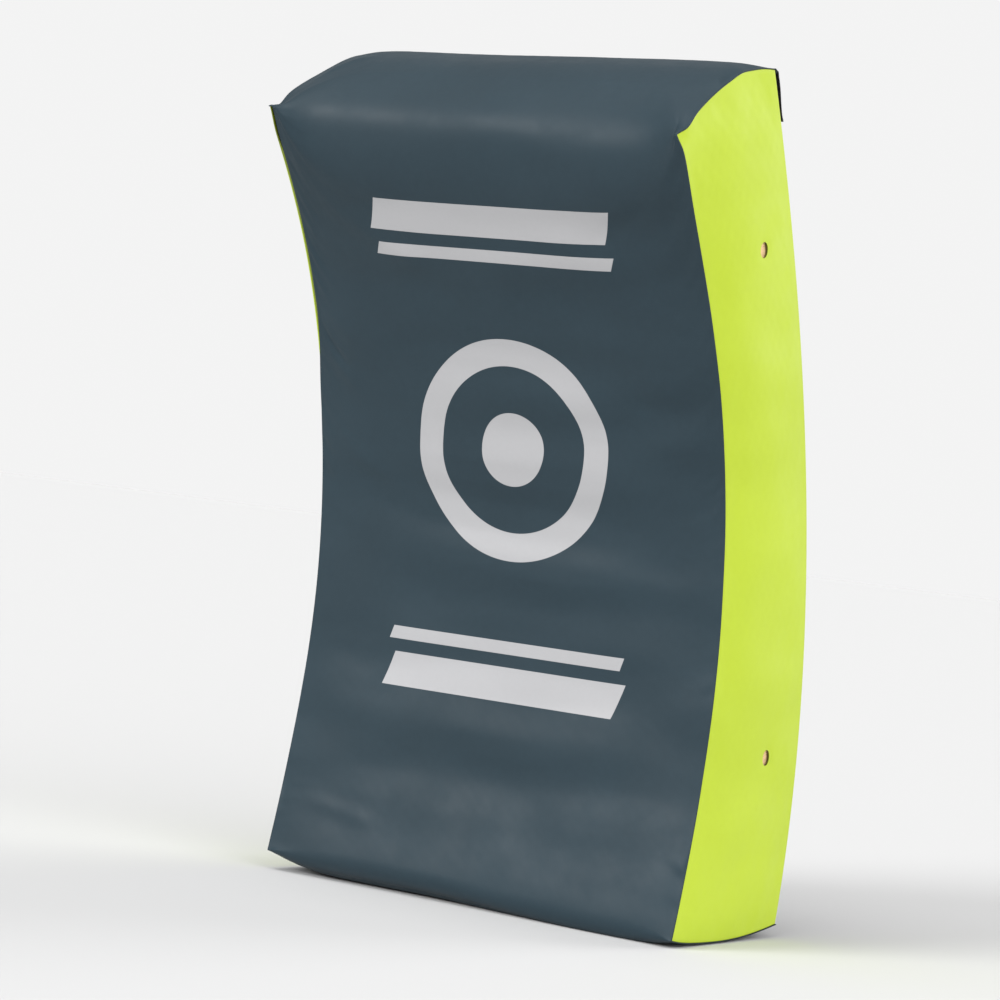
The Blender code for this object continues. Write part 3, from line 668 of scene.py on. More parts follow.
def settleCloth(points, seed, loose=1.0):
    # Lets a sewn panel with a little spare cloth settle under pressure over its foam.
    # Gives how far each point went, along the panel's normals.
    rows, columns = points.shape[:2]
    normals = gridNormals(points)
    rowPlaces, columnPlaces = np.meshgrid(np.arange(rows), np.arange(columns), indexing="ij")
    inside = np.ones((rows, columns), bool)
    inside[[0, -1]] = False
    inside[:, [0, -1]] = False
    tall, wide = slack["startCells"]
    push = slack["start"] * layered(rowPlaces / tall, columnPlaces / wide, seed, 3) * inside
    start = (points + normals * push[..., None]).reshape(-1, 3)
    piece = meshObject("settlingPanel", start, gridFaces(rows, columns), smooth=False)
    piece.shape_key_add(name="sewn")
    cut = piece.shape_key_add(name="cut")
    down, across = 1 + (slack["spareDown"] - 1) * loose, 1 + (slack["spareAcross"] - 1) * loose
    cut.data.foreach_set("co", (start * [across, down, down]).astype(np.float32).ravel())
    held = piece.vertex_groups.new(name="held")
    held.add(np.flatnonzero(~inside).tolist(), 1.0, "REPLACE")
    held.add(np.flatnonzero(inside).tolist(), slack["hold"], "REPLACE")
    modifier = piece.modifiers.new("cloth", "CLOTH")
    cloth = modifier.settings
    cloth.quality = slack["quality"]
    cloth.tension_stiffness = slack["stretch"]
    cloth.compression_stiffness = slack["stretch"]
    cloth.bending_stiffness = slack["bending"]
    cloth.use_pressure = True
    cloth.uniform_pressure_force = slack["pressure"]
    cloth.effector_weights.gravity = 0
    cloth.vertex_group_mass = held.name
    cloth.rest_shape_key = cut
    modifier.collision_settings.use_collision = False
    modifier.point_cache.frame_start = 1
    modifier.point_cache.frame_end = slack["frames"]
    for frameNumber in range(1, slack["frames"] + 1):
        bpy.context.scene.frame_set(frameNumber)
    applyModifiers(piece)
    settled = np.zeros(rows * columns * 3, np.float32)
    piece.data.vertices.foreach_get("co", settled)
    bpy.data.objects.remove(piece, do_unlink=True)
    bpy.context.scene.frame_set(1)
    went = withoutBulge(((settled.reshape(rows, columns, 3) - points) * normals).sum(-1), points)
    print(f"  cloth settled: waves of {went.std() * 1000:.2f} mm, up to {abs(went).max() * 1000:.1f} mm")
    return np.clip(went * slack["strength"], -slack["cap"], slack["cap"])


def withoutBulge(went, points):
    # Leaves the waves and takes off the broad bulge, which the foam below doesn't let in
    broad = went
    for axis in (0, 1):
        step = np.linalg.norm(np.diff(points, axis=axis), axis=-1).mean()
        reach = max(int(slack["broad"] / step / 2), 1)
        margins = [(reach, reach) if a == axis else (0, 0) for a in (0, 1)]
        even = np.full(2 * reach + 1, 1 / (2 * reach + 1))
        for _ in range(2):
            wider = np.pad(broad, margins, mode="edge")
            broad = np.apply_along_axis(np.convolve, axis, wider, even, "valid")
    return went - broad


def cubic(values, places, axis):
    # Smooth values between the rows or columns of a coarse grid
    values = np.moveaxis(values, axis, 0)
    last = len(values) - 1
    base = np.clip(np.floor(places).astype(int), 0, last - 1)
    t = (places - base).reshape(-1, *[1] * (values.ndim - 1))
    a, b, c, d = (values[np.clip(base + step, 0, last)] for step in (-1, 0, 1, 2))
    mixed = b + t * (c - a) / 2 + t**2 * (a - 2.5 * b + 2 * c - d / 2) + t**3 * (1.5 * (b - c) + (d - a) / 2)
    return np.moveaxis(mixed, 0, axis)


def settleFine(points, rowStep, columnStep, seed, loose=1.0):
    # Settles every few rows and columns of a fine grid and fills in between them
    rows, columns = points.shape[:2]
    rowPick = np.unique(np.append(np.arange(0, rows, rowStep), rows - 1))
    columnPick = np.unique(np.append(np.arange(0, columns, columnStep), columns - 1))
    coarse = settleCloth(points[np.ix_(rowPick, columnPick)], seed, loose)
    coarse = cubic(coarse, np.interp(np.arange(rows), rowPick, np.arange(len(rowPick))), 0)
    return cubic(coarse, np.interp(np.arange(columns), columnPick, np.arange(len(columnPick))), 1)


# The strike wrap: one sheet over the top, down the face and under the base

wrap = {
    "thickness": 0.0005,
    "frontCrown": 0.0040,
    "topCrown": (0.0024, 0.0050),
    "baseCrown": 0.0040,
    "earReach": 0.0010,
    "rollReach": 0.0660,
    "footReach": 0.0160,
    "seamRadius": 0.0005,
    "leftDraw": 0.0050,
    "drawDown": (0.012, 0.06, 0.28, 0.36),
    "drawAcross": (0.165, 0.225),
    "hemLength": 0.0045,
    "hemOut": 0.0012,
    "pucker": 1.8,
    "deepestPucker": 0.0005,
    "evenColumns": (0.206, 54),
    "edgeColumns": (0.2085, 8),
    "edgeFade": 0.020,
    "topRows": 40,
    "faceRows": 190,
    "turnRows": 12,
    "flatCut": (0.452, 1.10),
}
sheetGap = 0.0012
seamHalf = pad["width"] / 2 - 0.0015
innerHalf = seamHalf - sheetGap
# Each crease: its start and end as (across, down), its width and its height
strikeCreases = (
    (-0.320, 0.098, 0.320, 0.118, 0.017, 0.0020),
    (-0.300, 0.186, 0.320, 0.170, 0.020, 0.0011),
    (-0.320, 0.262, 0.320, 0.292, 0.022, 0.0012),
    (-0.320, 0.388, 0.260, 0.372, 0.026, 0.0012),
    (-0.260, 0.492, 0.340, 0.470, 0.026, 0.0012),
    (-0.300, 0.600, 0.300, 0.622, 0.026, 0.0015),
    (-0.212, -0.035, -0.165, -0.055, 0.007, 0.0016),
    (-0.222, 0.050, -0.190, 0.064, 0.005, 0.0012),
    (-0.225, 0.297, -0.185, 0.300, 0.004, -0.0016),
    (-0.222, 0.306, -0.170, 0.312, 0.007, 0.0010),
    (0.120, 0.292, 0.215, 0.320, 0.012, -0.0015),
    (0.135, 0.330, 0.220, 0.350, 0.012, 0.0010),
    (-0.210, 0.700, -0.095, 0.722, 0.008, 0.0012),
    (-0.200, 0.130, -0.060, 0.190, 0.010, 0.0010),
    (0.210, 0.100, 0.090, 0.160, 0.010, -0.0010),
    (-0.220, 0.360, -0.100, 0.410, 0.010, 0.0010),
)


def roundedCorner(before, corner, after, steps):
    share = (np.arange(1, steps) / steps)[:, None]
    first = before * (1 - share) + corner * share
    second = corner * (1 - share) + after * share
    return first * (1 - share) + second * share


def wrapLine(across):
    # The wrap's side line at a place across it, from the top back seam to the bottom one
    station = min(abs(across) / innerHalf, 1.0)
    swell, topSwell = 1 - station**8, 1 - station**20
    ear = wrap["earReach"]
    roll, foot = (ear + (wrap[key] - ear) * swell for key in ("rollReach", "footReach"))
    topCut, frontCut = roll / topLength, roll / pad["frontHeight"]
    footCut, baseCut = foot / pad["frontHeight"], foot / pad["baseDepth"]
    topShare = np.linspace(1.0, topCut, wrap["topRows"])
    baseShare = np.linspace(baseCut, 1.0, wrap["topRows"])
    top, base = edgeLine("top", topShare), edgeLine("bottom", baseShare)
    face = edgeLine("front", np.linspace(1 - frontCut, footCut, wrap["faceRows"]))
    rollTurn = roundedCorner(top[-1], frontTop, face[0], wrap["turnRows"])
    footTurn = roundedCorner(face[-1], frontBottom, base[0], wrap["turnRows"])
    # The crown swells the line out: evenly on the face, highest in the middle of the top and the base
    low, high = wrap["topCrown"]
    topCrown = topSwell * (low + (high - low) * smoothStep(across, -0.10, 0.16))
    rise = (1 - abs(2 * topShare - 1) ** 5) * smoothStep(topShare, topCut * 0.6, 0.62)
    faceCrown = wrap["frontCrown"] * swell
    crowns = [
        faceCrown * smoothStep(1 - topShare, 0.0, 1 - topCut) + topCrown * rise,
        np.full(len(rollTurn) + len(face) + len(footTurn), faceCrown),
        faceCrown * (1 - baseShare) + wrap["baseCrown"] * (1 - abs(2 * baseShare - 1) ** 3) * swell,
    ]
    line = np.concatenate([top, rollTurn, face, footTurn, base])
    run = unit(np.gradient(line, axis=0))
    normals = np.stack([run[:, 1], -run[:, 0]], -1)
    return line + normals * np.concatenate(crowns)[:, None]


# The closure band: the flat stretch of the back that the flap covers
closureBand = 0.060
bandDown = unit(edgeLine("back", 1 - closureBand / backLength) - backTop)
bandOut = flat(-bandDown[1], bandDown[0])
topEndRun = unit(edgeLine("top", 1.0) - edgeLine("top", 0.999))
hemCorner = backTop + topEndRun * (wrap["hemOut"] / float(topEndRun @ bandOut))


def band(across, down, out):
    # A place in the closure band: across, down from the top back seam, out from the back
    across, down, out = np.broadcast_arrays(*(np.asarray(value, float) for value in (across, down, out)))
    return soften(world(across, backTop + bandDown * down[..., None] + bandOut * out[..., None]))


def leftDraw(down):
    # How far the left front seam is pulled in, by the distance down from the top
    start, full, ebb, end = wrap["drawDown"]
    return wrap["leftDraw"] * smoothStep(down, start, full) * (1 - smoothStep(down, ebb, end))


def makeWrap():
    radius = wrap["seamRadius"]
    turns = np.radians([20, 40, 60, 80, 100])
    flatHalf = pad["width"] / 2 - radius
    (evenEnd, evenCount), (edgeStart, edgeCount) = wrap["evenColumns"], wrap["edgeColumns"]
    half = np.concatenate([np.linspace(0, evenEnd, evenCount), np.linspace(edgeStart, flatHalf, edgeCount)])
    places = np.concatenate([half, flatHalf + radius * np.sin(turns)])
    drops = np.concatenate([np.zeros(len(half)), radius * (1 - np.cos(turns))])
    across = np.concatenate([-places[:0:-1], places])
    drop = np.concatenate([drops[:0:-1], drops])
    side = np.stack([wrapLine(x) for x in across], 1)
    # The short hem that turns down over the top back seam
    hemDown = wrap["hemLength"] * np.array([1.0, 0.5, 0.15])
    hem = np.concatenate([backTop + bandDown * hemDown[:, None] + bandOut * wrap["hemOut"], [hemCorner]])
    side = np.concatenate([np.repeat(hem[:, None], len(across), 1), side[1:]])
    points = world(across[None, :], side)
    # Places down the sheet count from where the top turns into the face
    down = runLengths(side[:, len(across) // 2])
    down = down - down[len(hem) + wrap["topRows"] - 1]
    downGrid, acrossGrid = np.meshgrid(down, across, indexing="ij")
    normals = gridNormals(points)
    away = pad["width"] / 2 - abs(acrossGrid)
    fade = wrap["edgeFade"]
    edges = np.clip((downGrid - down[len(hem) - 1]) / fade, 0, 1)
    edges = edges * np.clip((down[-1] - 0.006 - downGrid) / fade, 0, 1)
    pucker = seamPucker(downGrid + 3 * (acrossGrid > 0), away, 21, wrap["pucker"])
    lift = np.maximum(pucker, -wrap["deepestPucker"]) * edges + creases(acrossGrid, downGrid, strikeCreases)
    loose = np.s_[len(hem) - 1:, len(turns) + 1:-len(turns) - 1]
    lift[loose] += settleFine(points[loose], 2, 2, 11) * np.clip(away[loose] / fade, 0, 1) * edges[loose]
    points = points + normals * (lift - drop * np.clip((downGrid - down[0]) / 0.01, 0, 1))[..., None]
    # The left seam is pulled in, so that the side behind it swells past it
    points[..., 0] += leftDraw(downGrid) * smoothStep(-acrossGrid, *wrap["drawAcross"])
    piece = sheetMesh("strikeWrapCover", soften(points), normals, wrap["thickness"], acrossGrid, downGrid)
    for vertex in piece.data.vertices:
        vertex.co.z = max(vertex.co.z, 0.0)
    dress(piece, "slate_sheet", "shield", "strike_wrap")


makeWrap()
print("stage: strike wrap made")

# The gussets

gusset = {
    "thickness": 0.0008,
    "crown": 0.0062,
    "seamInset": 0.0006,
    "seamRadius": 0.0009,
    "drawnRadius": 0.0017,
    "sink": 0.0010,
    "depth": 0.160,
    "height": 0.720,
    "steps": (46, 200),
    "loose": 0.8,
    "edgeFade": 0.012,
    "ventRadius": 0.0072,
    "ventCalm": 0.022,
    "ventLip": 0.003,
    "ventWidth": 0.85,
    "ventDepth": 0.605,
    "ventHeights": (0.2175, 0.8125),
    "flatCut": (0.190, 0.79),
}


def stepsFrom(length, radius, inner):
    # Shares from 0 to 1 with extra steps round both rolled edges, and how far each step drops
    turns = np.radians([90, 68, 45, 22, 0])
    insets = radius * (1 - np.cos(turns[::-1])) / length
    drops = radius * (1 - np.sin(turns[::-1]))
    middle = np.linspace(insets[-1], 1 - insets[-1], inner)[1:-1]
    shares = np.concatenate([insets, middle, 1 - insets[::-1]])
    return shares, np.concatenate([drops, np.zeros(len(middle)), drops[::-1]])


def sideSwell(depth, height):
    return gusset["crown"] * (1 - (2 * depth - 1) ** 2) * (1 - (2 * height - 1) ** 6)


def makeGusset(side, name, node):
    inset = gusset["seamInset"]
    corners = insetCorners(inset, inset, inset, inset)
    rim = gusset["seamRadius"] if side > 0 else gusset["drawnRadius"]
    depth, depthDrop = stepsFrom(gusset["depth"], rim, gusset["steps"][0])
    height, heightDrop = stepsFrom(gusset["height"], gusset["seamRadius"], gusset["steps"][1])
    heightGrid, depthGrid = np.meshgrid(height[::-1], depth, indexing="ij")
    plain = sidePoint(corners, depthGrid, heightGrid)
    back, up = depthGrid * gusset["depth"], heightGrid * gusset["height"]
    fromBack, fromTop = gusset["depth"] - back, gusset["height"] - up
    away = np.minimum(np.minimum(back, fromBack), np.minimum(up, fromTop))
    across = side * (pad["width"] / 2 - inset + sideSwell(depthGrid, heightGrid))
    settled = settleFine(world(across, plain)[:, ::side], 3, 2, 31 + side, gusset["loose"])[:, ::side]
    lift = np.maximum(settled, -gusset["sink"])
    for number, (along, off) in enumerate(((up, back), (up, fromBack), (back, fromTop), (back, up))):
        lift = lift + seamPucker(along, off, 60 + 10 * side + number)
    depthDrop = np.broadcast_to(depthDrop, depthGrid.shape)
    if side < 0:
        drawn = leftDraw((1 - heightGrid) * frontLength) * (depthGrid < 0.5)
        depthDrop = depthDrop * (1 + drawn / rim)
    lift = lift * np.clip(away / gusset["edgeFade"], 0, 1) - np.maximum(heightDrop[::-1][:, None], depthDrop)
    vents = [sidePoint(corners, gusset["ventDepth"], share) for share in gusset["ventHeights"]]
    for vent in vents:
        reach = np.linalg.norm(plain - vent, axis=-1)
        lift = lift * (1 - np.exp(-((reach / gusset["ventCalm"]) ** 2)))
        lip = (reach - gusset["ventRadius"]) / gusset["ventLip"]
        lift = lift - wrinkles["dimpleHeight"] * np.exp(-(lip**2))
    points = soften(world(across + side * lift, plain))
    piece = sheetMesh(name, points, gridNormals(points) * side, gusset["thickness"], back, up)
    for vent in vents:
        punchVent(piece, tuple(soften(np.array([side * pad["width"] / 2, *vent]))))
    piece.data.set_sharp_from_angle(angle=radians(50))
    dress(piece, "yellow_sheet", "shield", node)


def punchVent(piece, place):
    shape = bmesh.new()
    radius = gusset["ventRadius"]
    bmesh.ops.create_cone(shape, cap_ends=True, segments=48, radius1=radius, radius2=radius, depth=0.03)
    bmesh.ops.rotate(shape, verts=shape.verts, matrix=Matrix.Rotation(pi / 2, 3, "Y"))
    bmesh.ops.scale(shape, verts=shape.verts, vec=(1, gusset["ventWidth"], 1))
    bmesh.ops.translate(shape, verts=shape.verts, vec=place)
    mesh = bpy.data.meshes.new("ventCutter")
    shape.to_mesh(mesh)
    shape.free()
    cutter = bpy.data.objects.new("ventCutter", mesh)
    bpy.context.scene.collection.objects.link(cutter)
    modifier = piece.modifiers.new("vent", "BOOLEAN")
    modifier.operation = "DIFFERENCE"
    modifier.solver = "EXACT"
    modifier.object = cutter
    applyModifiers(piece)
    bpy.data.objects.remove(cutter, do_unlink=True)


makeGusset(1, "gussetRightCover", "gusset_right")
makeGusset(-1, "gussetLeftCover", "gusset_left")
print("stage: gussets made")

# The back panel

backPanel = {
    "thickness": 0.0008,
    "crown": 0.0030,
    "bandDip": 0.0015,
    "bandTop": 0.0200,
    "dipRamp": 0.022,
    "hemOff": 0.0025,
    "seamRadius": 0.0014,
    "columns": 82,
    "bandRows": 14,
    "rows": 150,
    "loose": 0.8,
    "edgeFade": 0.008,
    "flatCut": (0.445, 0.78),
}
rampStart = 1 - (closureBand + backPanel["dipRamp"]) / backLength
panelCorners = insetCorners(bottom=sheetGap)


def backSwell(across, heightShare):
    upright = 1 - abs(2 * np.minimum(heightShare, rampStart) / rampStart - 1) ** 4
    return backPanel["crown"] * (1 - abs(across / innerHalf) ** 6) * upright


def makeBackPanel():
    shares, drops = stepsFrom(2 * innerHalf, backPanel["seamRadius"], backPanel["columns"])
    across = (2 * shares - 1) * innerHalf
    bandSteps = np.linspace(backPanel["bandTop"], closureBand, backPanel["bandRows"])
    bandLine = backTop + bandDown * bandSteps[:, None] - bandOut * backPanel["bandDip"]
    upper = world(across[None, :], bandLine[:, None])
    heights = np.linspace(rampStart, 0.0, backPanel["rows"])
    swell = backSwell(across[None, :], heights[:, None])
    side, outward = edgeLine("back", heights, panelCorners), edgeNormal("back", heights)
    lower = world(across[None, :], side[:, None] + outward[:, None] * swell[..., None])
    ramp = cubic(np.concatenate([upper[-3:-1], lower[:2]]), np.array([1.25, 1.5, 1.75]), 0)
    points = np.concatenate([upper[:-1], ramp, lower])
    down = runLengths(points[:, len(across) // 2])
    downGrid, acrossGrid = np.meshgrid(down, across, indexing="ij")
    away, fromBase = innerHalf - abs(acrossGrid), down[-1] - downGrid
    # The band under the flap stays flat
    bandRows = len(upper) - 2
    lift = settleFine(points[bandRows:, ::-1], 2, 2, 41, backPanel["loose"])[:, ::-1]
    lift = np.pad(lift, ((bandRows, 0), (0, 0)))
    lift = lift + seamPucker(downGrid + 3 * (acrossGrid > 0), away, 91) + seamPucker(acrossGrid, fromBase, 97)
    calm = np.clip((downGrid - 0.03) / 0.03, 0, 1)
    calm = calm * np.clip(np.minimum(away, fromBase) / backPanel["edgeFade"], 0, 1)
    normals = -gridNormals(points)
    points = soften(points + normals * (lift * calm - drops[None, :])[..., None])
    piece = sheetMesh("backPanelCover", points, normals, backPanel["thickness"], acrossGrid, downGrid)
    dress(piece, "black_sheet", "shield", "back_panel")


makeBackPanel()
print("stage: back panel made")

# Closure: the flap, its hook strip, the loop strip under it and the zip

closure = {
    "sheet": 0.0009,
    "gap": 0.0003,
    "flapStart": 0.0004,
    "startLift": 0.0018,
    "shoulder": 0.0050,
    "flapLength": 0.050,
    "hem": 0.0070,
    "hemRise": 0.0004,
    "endRise": 0.0022,
    "stripTop": 0.0250,
    "stripLength": 0.0210,
    "loop": 0.0018,
    "hook": 0.0016,
    "stripInset": 0.006,
    "tape": 0.0008,
    "chainMiddle": 0.0125,
    "chainThickness": 0.0032,
    "spineOff": 0.00455,
    "tapeStart": 0.0015,
    "tapeEnd": 0.0320,
    "turn": 0.009,
    "flapThickness": 0.0008,
    "wave": 0.0007,
    "waveLength": 0.045,
    "pucker": 0.00035,
    "puckerLength": 0.009,
    "endReach": 0.030,
    "pile": 0.0001,
    "pileRound": 0.0002,
    "stitchInset": 0.0050,
    "tabHalf": 0.0024,
}
loopOut = -backPanel["bandDip"] + closure["gap"]
hookOut = loopOut + closure["loop"] + closure["gap"]
flapOut = hookOut + closure["hook"] + closure["gap"]
tapeOut = -backPanel["bandDip"] - closure["sheet"] - closure["gap"]
flapTurn = [tuple(band(0, down, flapOut)) for down in (closure["flapStart"], closure["turn"])]


def bandPanel(name, half, downs, outs, thickness, slotName, body, node, steps, lift=None):
    # A sheet in the closure band, with its upper face raised a thickness over its inner line
    across = np.linspace(-half, half, steps)
    downGrid, acrossGrid = np.meshgrid(downs, across, indexing="ij")
    out = np.broadcast_to(outs, len(downs))[:, None] + thickness
    if lift is not None:
        out = out + lift(acrossGrid, downGrid)
    points = band(acrossGrid, downGrid, out)
    piece = sheetMesh(name, points, -gridNormals(points), thickness, acrossGrid, downGrid)
    return dress(piece, slotName, body, node)


def flapLift(across, down):
    # The hems at the sides and the free edge stand a little proud, and the free edge waves
    hem = 0.0
    for place, end in ((abs(across), seamHalf), (down, closure["flapLength"])):
        start = end - closure["hem"]
        hem = np.maximum(hem, smoothStep(place, start, start + 0.0012))
    wave = closure["wave"] * (1 + lattice(across / closure["waveLength"], down * 0, 140))
    wave = wave * smoothStep(down, 0.044, closure["flapLength"])
    pucker = closure["pucker"] * lattice(across / closure["puckerLength"], down / 0.02, 141)
    pucker = pucker * smoothStep(down, 0.005, 0.010)
    ends = smoothStep(abs(across), seamHalf - closure["endReach"], seamHalf) * smoothStep(down, 0.001, 0.004)
    proud = closure["endRise"] * ends * (1 - smoothStep(down, 0.012, 0.045))
    hem = closure["hemRise"] * hem * smoothStep(down, 0.002, 0.006)
    return hem + wave + proud + np.maximum(pucker, -0.0002)


def makeFlap():
    thickness, length = closure["flapThickness"], closure["flapLength"]
    downs = np.linspace(closure["flapStart"], length, 44)
    rise = smoothStep(downs, closure["flapStart"], closure["shoulder"])
    outs = closure["startLift"] + (flapOut - closure["startLift"]) * rise
    look = ("black_sheet", None, "closure_flap")
    flap = bandPanel("closureFlap", seamHalf, downs, outs, thickness, *look, 220, flapLift)
    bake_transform(flap)

    def seam(across, down):
        across, down = np.broadcast_arrays(across, down)
        out = np.interp(down, downs, outs) + thickness + flapLift(across, down)
        return band(across, down, out), (0, *bandOut)

    inset = closure["stitchInset"]
    rows = ((0.0280, inset), (0.0435, inset), (length - inset, inset), (0.0022, 0.0020))
    seams = [seam(np.linspace(fromEnd - seamHalf, seamHalf - fromEnd, 200), down) for down, fromEnd in rows]
    seams += [seam(side * (seamHalf - inset), np.linspace(0.0080, length - inset, 40)) for side in (-1, 1)]
    threads = stitchMesh("flapStitches", seams)
    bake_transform(threads)


def makeStrips():
    half, length = innerHalf - closure["stripInset"], closure["stripLength"]
    downs = np.linspace(closure["stripTop"], closure["stripTop"] + length, 14)
    strips = (
        ("hookStrip", hookOut, closure["hook"], ("hook_tape", "flap", "flap_hook_strip"), 151),
        ("loopStrip", loopOut, closure["loop"], ("loop_tape", "shield", "back_loop_strip"), 161),
    )
    for name, out, thickness, look, seed in strips:

        def pile(across, down, seed=seed):
            middle = abs(down - closure["stripTop"] - length / 2)
            edge = smoothStep(half - abs(across), 0, 0.0015) * smoothStep(length / 2 - middle, 0, 0.0015)
            rough = closure["pile"] * lattice(across / 0.004, down / 0.004, seed)
            return closure["pileRound"] * (edge - 1) - closure["pile"] + rough

        strip = bandPanel(name, half, downs, out, thickness - closure["pile"], *look, 200, pile)


def makeTapes():
    half, spine = innerHalf - 0.0006, closure["spineOff"] + 0.0003
    spans = (
        ("upperTape", "zip_tape_upper", closure["tapeStart"], closure["chainMiddle"] - spine),
        ("lowerTape", "zip_tape_lower", closure["chainMiddle"] + spine, closure["tapeEnd"]),
    )
    for name, node, start, end in spans:
        look = ("zip_tape", "shield", node)
        downs = np.linspace(start, end, 10)
        tape = bandPanel(name, half, downs, tapeOut - closure["tape"], closure["tape"], *look, 120)
    across = np.linspace(-half + 0.004, half - 0.004, 220)
    line = band(across, backPanel["bandTop"] + backPanel["hemOff"], -backPanel["bandDip"] + 0.0001)
    threads = stitchMesh("panelTopStitches", [(line, (0, *bandOut))])
    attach(threads, "shield")


def makePullTab():
    low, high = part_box("zip_pull_tab")
    half, length = closure["tabHalf"], high.x - low.x
    reach = np.linspace(0, length, 44)[:, None]
    rounding = 1 - (np.clip(reach - (length - half), 0, half) / half) ** 2
    girth, sway = half * np.sqrt(np.clip(rounding, 0.02, 1)), 0.0002 * np.sin(reach / length * 5)
    slotOut = tapeOut - closure["tape"] / 2 + closure["chainThickness"] / 2 + 0.0016
    turn = turnAngles(16)
    down = closure["chainMiddle"] + girth * signedPower(np.cos(turn), 0.5) + sway
    out = slotOut + 0.0003 + 0.0003 * signedPower(np.sin(turn), 0.7)
    tab = tubeMesh("zipPullTab", band(low.x + reach, down, out), down - closure["chainMiddle"], reach)
    dress(tab, "black_webbing", "slider", "zip_pull_tab")


makeFlap()
makeStrips()
makeTapes()
makePullTab()
print("stage: closure made")

# Grips and forearm straps

holds = {
    "footStart": 0.0400 * pad["width"],
    "footLength": 0.0756 * pad["width"],
    "loopLength": 0.2778 * pad["width"],
    "footBend": 0.008,
    "shoulderBend": 0.024,
    "riseRun": 0.020,
    "patch": 0.0009,
    "overhang": 0.008,
    "webbing": 0.0024,
    "sleeveCorner": 2.6,
    "stitchInset": 0.003,
    "bendSteps": 12,
    "lineSteps": 190,
    "seat": 0.0003,
    "patchSheet": 0.0008,
    "groove": 0.00022,
    "ridge": 0.0006,
    "ridgePitch": 0.0095,
    "padding": 0.0004,
    "gather": 0.0005,
    "gatherReach": 0.006,
    "sleeveSeam": 0.0008,
    "slotRoom": 0.0004,
}
grip = {"level": "upper", "height": 0.70, "width": 0.030, "rise": 0.042, "wall": 0.0045, "thickness": 0.018}
arm = {"level": "lower", "height": 0.365, "width": 0.050, "rise": 0.056, "wall": 0.0080, "thickness": 0.012}
loopStart = holds["footStart"] + holds["footLength"]
loopEnd = loopStart + holds["loopLength"]
footEnd = loopEnd + holds["footLength"]
footOut = holds["seat"] + holds["patch"] + holds["seat"] + holds["webbing"] / 2


def strapPoint(kind, across, upBy, out):
    # A place over the back: across, up and down from the strap's middle, and out from the cloth
    across, upBy, out = np.broadcast_arrays(*(np.asarray(value, float) for value in (across, upBy, out)))
    place = edgeLine("back", kind["height"], panelCorners)
    normal = edgeNormal("back", kind["height"])
    up = flat(-normal[1], normal[0])
    level = backSwell(across, kind["height"]) + out
    return world(across, place + up * upBy[..., None] + normal * level[..., None])


def strapSeams(kind, corners, out, steps):
    # Straight lines of thread from corner to corner, at a height over the back
    seams = []
    for (x0, up0), (x1, up1) in zip(corners, corners[1:]):
        share = np.linspace(0, 1, steps)
        line = strapPoint(kind, x0 + (x1 - x0) * share, up0 + (up1 - up0) * share, out)
        seams.append((line, (0.0, *edgeNormal("back", kind["height"]))))
    return seams


def loopLine(rise):
    # The webbing's middle line as (across, out), and where its padded sleeve starts and ends
    peak, bend, run = footOut + rise, holds["footBend"], holds["riseRun"]
    path = np.array([
        (loopStart - bend, footOut),
        (loopStart, footOut),
        (loopStart + run, peak),
        (loopEnd - run, peak),
        (loopEnd, footOut),
        (loopEnd + bend, footOut),
    ])
    line, marks = [np.array([[holds["footStart"], footOut]])], []
    bends = (bend, holds["shoulderBend"], holds["shoulderBend"], bend)
    for before, corner, after, reach in zip(path, path[1:], path[2:], bends):
        start = corner + unit(before - corner) * reach
        end = corner + unit(after - corner) * reach
        marks.append((start, end))
        line.append(np.concatenate([[start], roundedCorner(start, corner, end, holds["bendSteps"]), [end]]))
    line = np.concatenate([*line, [[footEnd, footOut]]])
    reach = runLengths(line)
    fine = np.linspace(0, reach[-1], holds["lineSteps"])
    smooth = np.stack([np.interp(fine, reach, line[:, axis]) for axis in (0, 1)], 1)
    sleeve = [reach[np.argmin(np.linalg.norm(line - mark, axis=1))] for mark in (marks[1][0], marks[2][1])]
    return smooth, fine, sleeve


def alongLine(kind, side, line, upBy, out):
    # Places over a line that runs across the back, mirrored for the left hand. Each row is a section.
    run = unit(np.gradient(line, axis=0))
    normals = np.stack([-run[:, 1], run[:, 0]], -1)
    place = line[:, None] + normals[:, None] * out[..., None]
    return strapPoint(kind, place[..., 0], upBy, place[..., 1]) * [side, 1, 1]


def makePatch(kind, start, end, name, node):
    half = kind["width"] / 2 + holds["overhang"]
    upGrid, acrossGrid = np.meshgrid(np.linspace(half, -half, 30), np.linspace(start, end, 44), indexing="ij")
    border = np.minimum(half - abs(upGrid), np.minimum(acrossGrid - start, end - acrossGrid))
    inset = holds["stitchInset"]
    rounding = 0.0003 * (1 - smoothStep(border, 0, 0.001))
    groove = holds["groove"] * np.exp(-(((border - inset) / 0.0010) ** 2))
    uneven = 0.0001 * lattice(acrossGrid / 0.012, upGrid / 0.012, 171)
    out = holds["seat"] + holds["patchSheet"] - rounding - groove + uneven
    points = strapPoint(kind, acrossGrid, upGrid, out)
    piece = sheetMesh(name, points, -gridNormals(points), 0.0007, acrossGrid, upGrid)
    dress(piece, "black_sheet", "shield", node)
    left, right, high = start + inset, end - inset, half - inset
    path = [(left, high), (right, high), (right, -high), (left, -high), (left, high)]
    return strapSeams(kind, path, 0.0009, 30)


def footStitches(kind, start, end):
    # A boxed cross through the webbing's foot
    inset = holds["stitchInset"]
    left, right, high = start + inset, end - inset, kind["width"] / 2 - inset
    path = [(left, high), (right, high), (right, -high), (left, -high), (left, high), (right, -high)]
    out = footOut + holds["webbing"] / 2 + 0.0001
    return strapSeams(kind, path, out, 20) + strapSeams(kind, [(left, -high), (right, high)], out, 20)


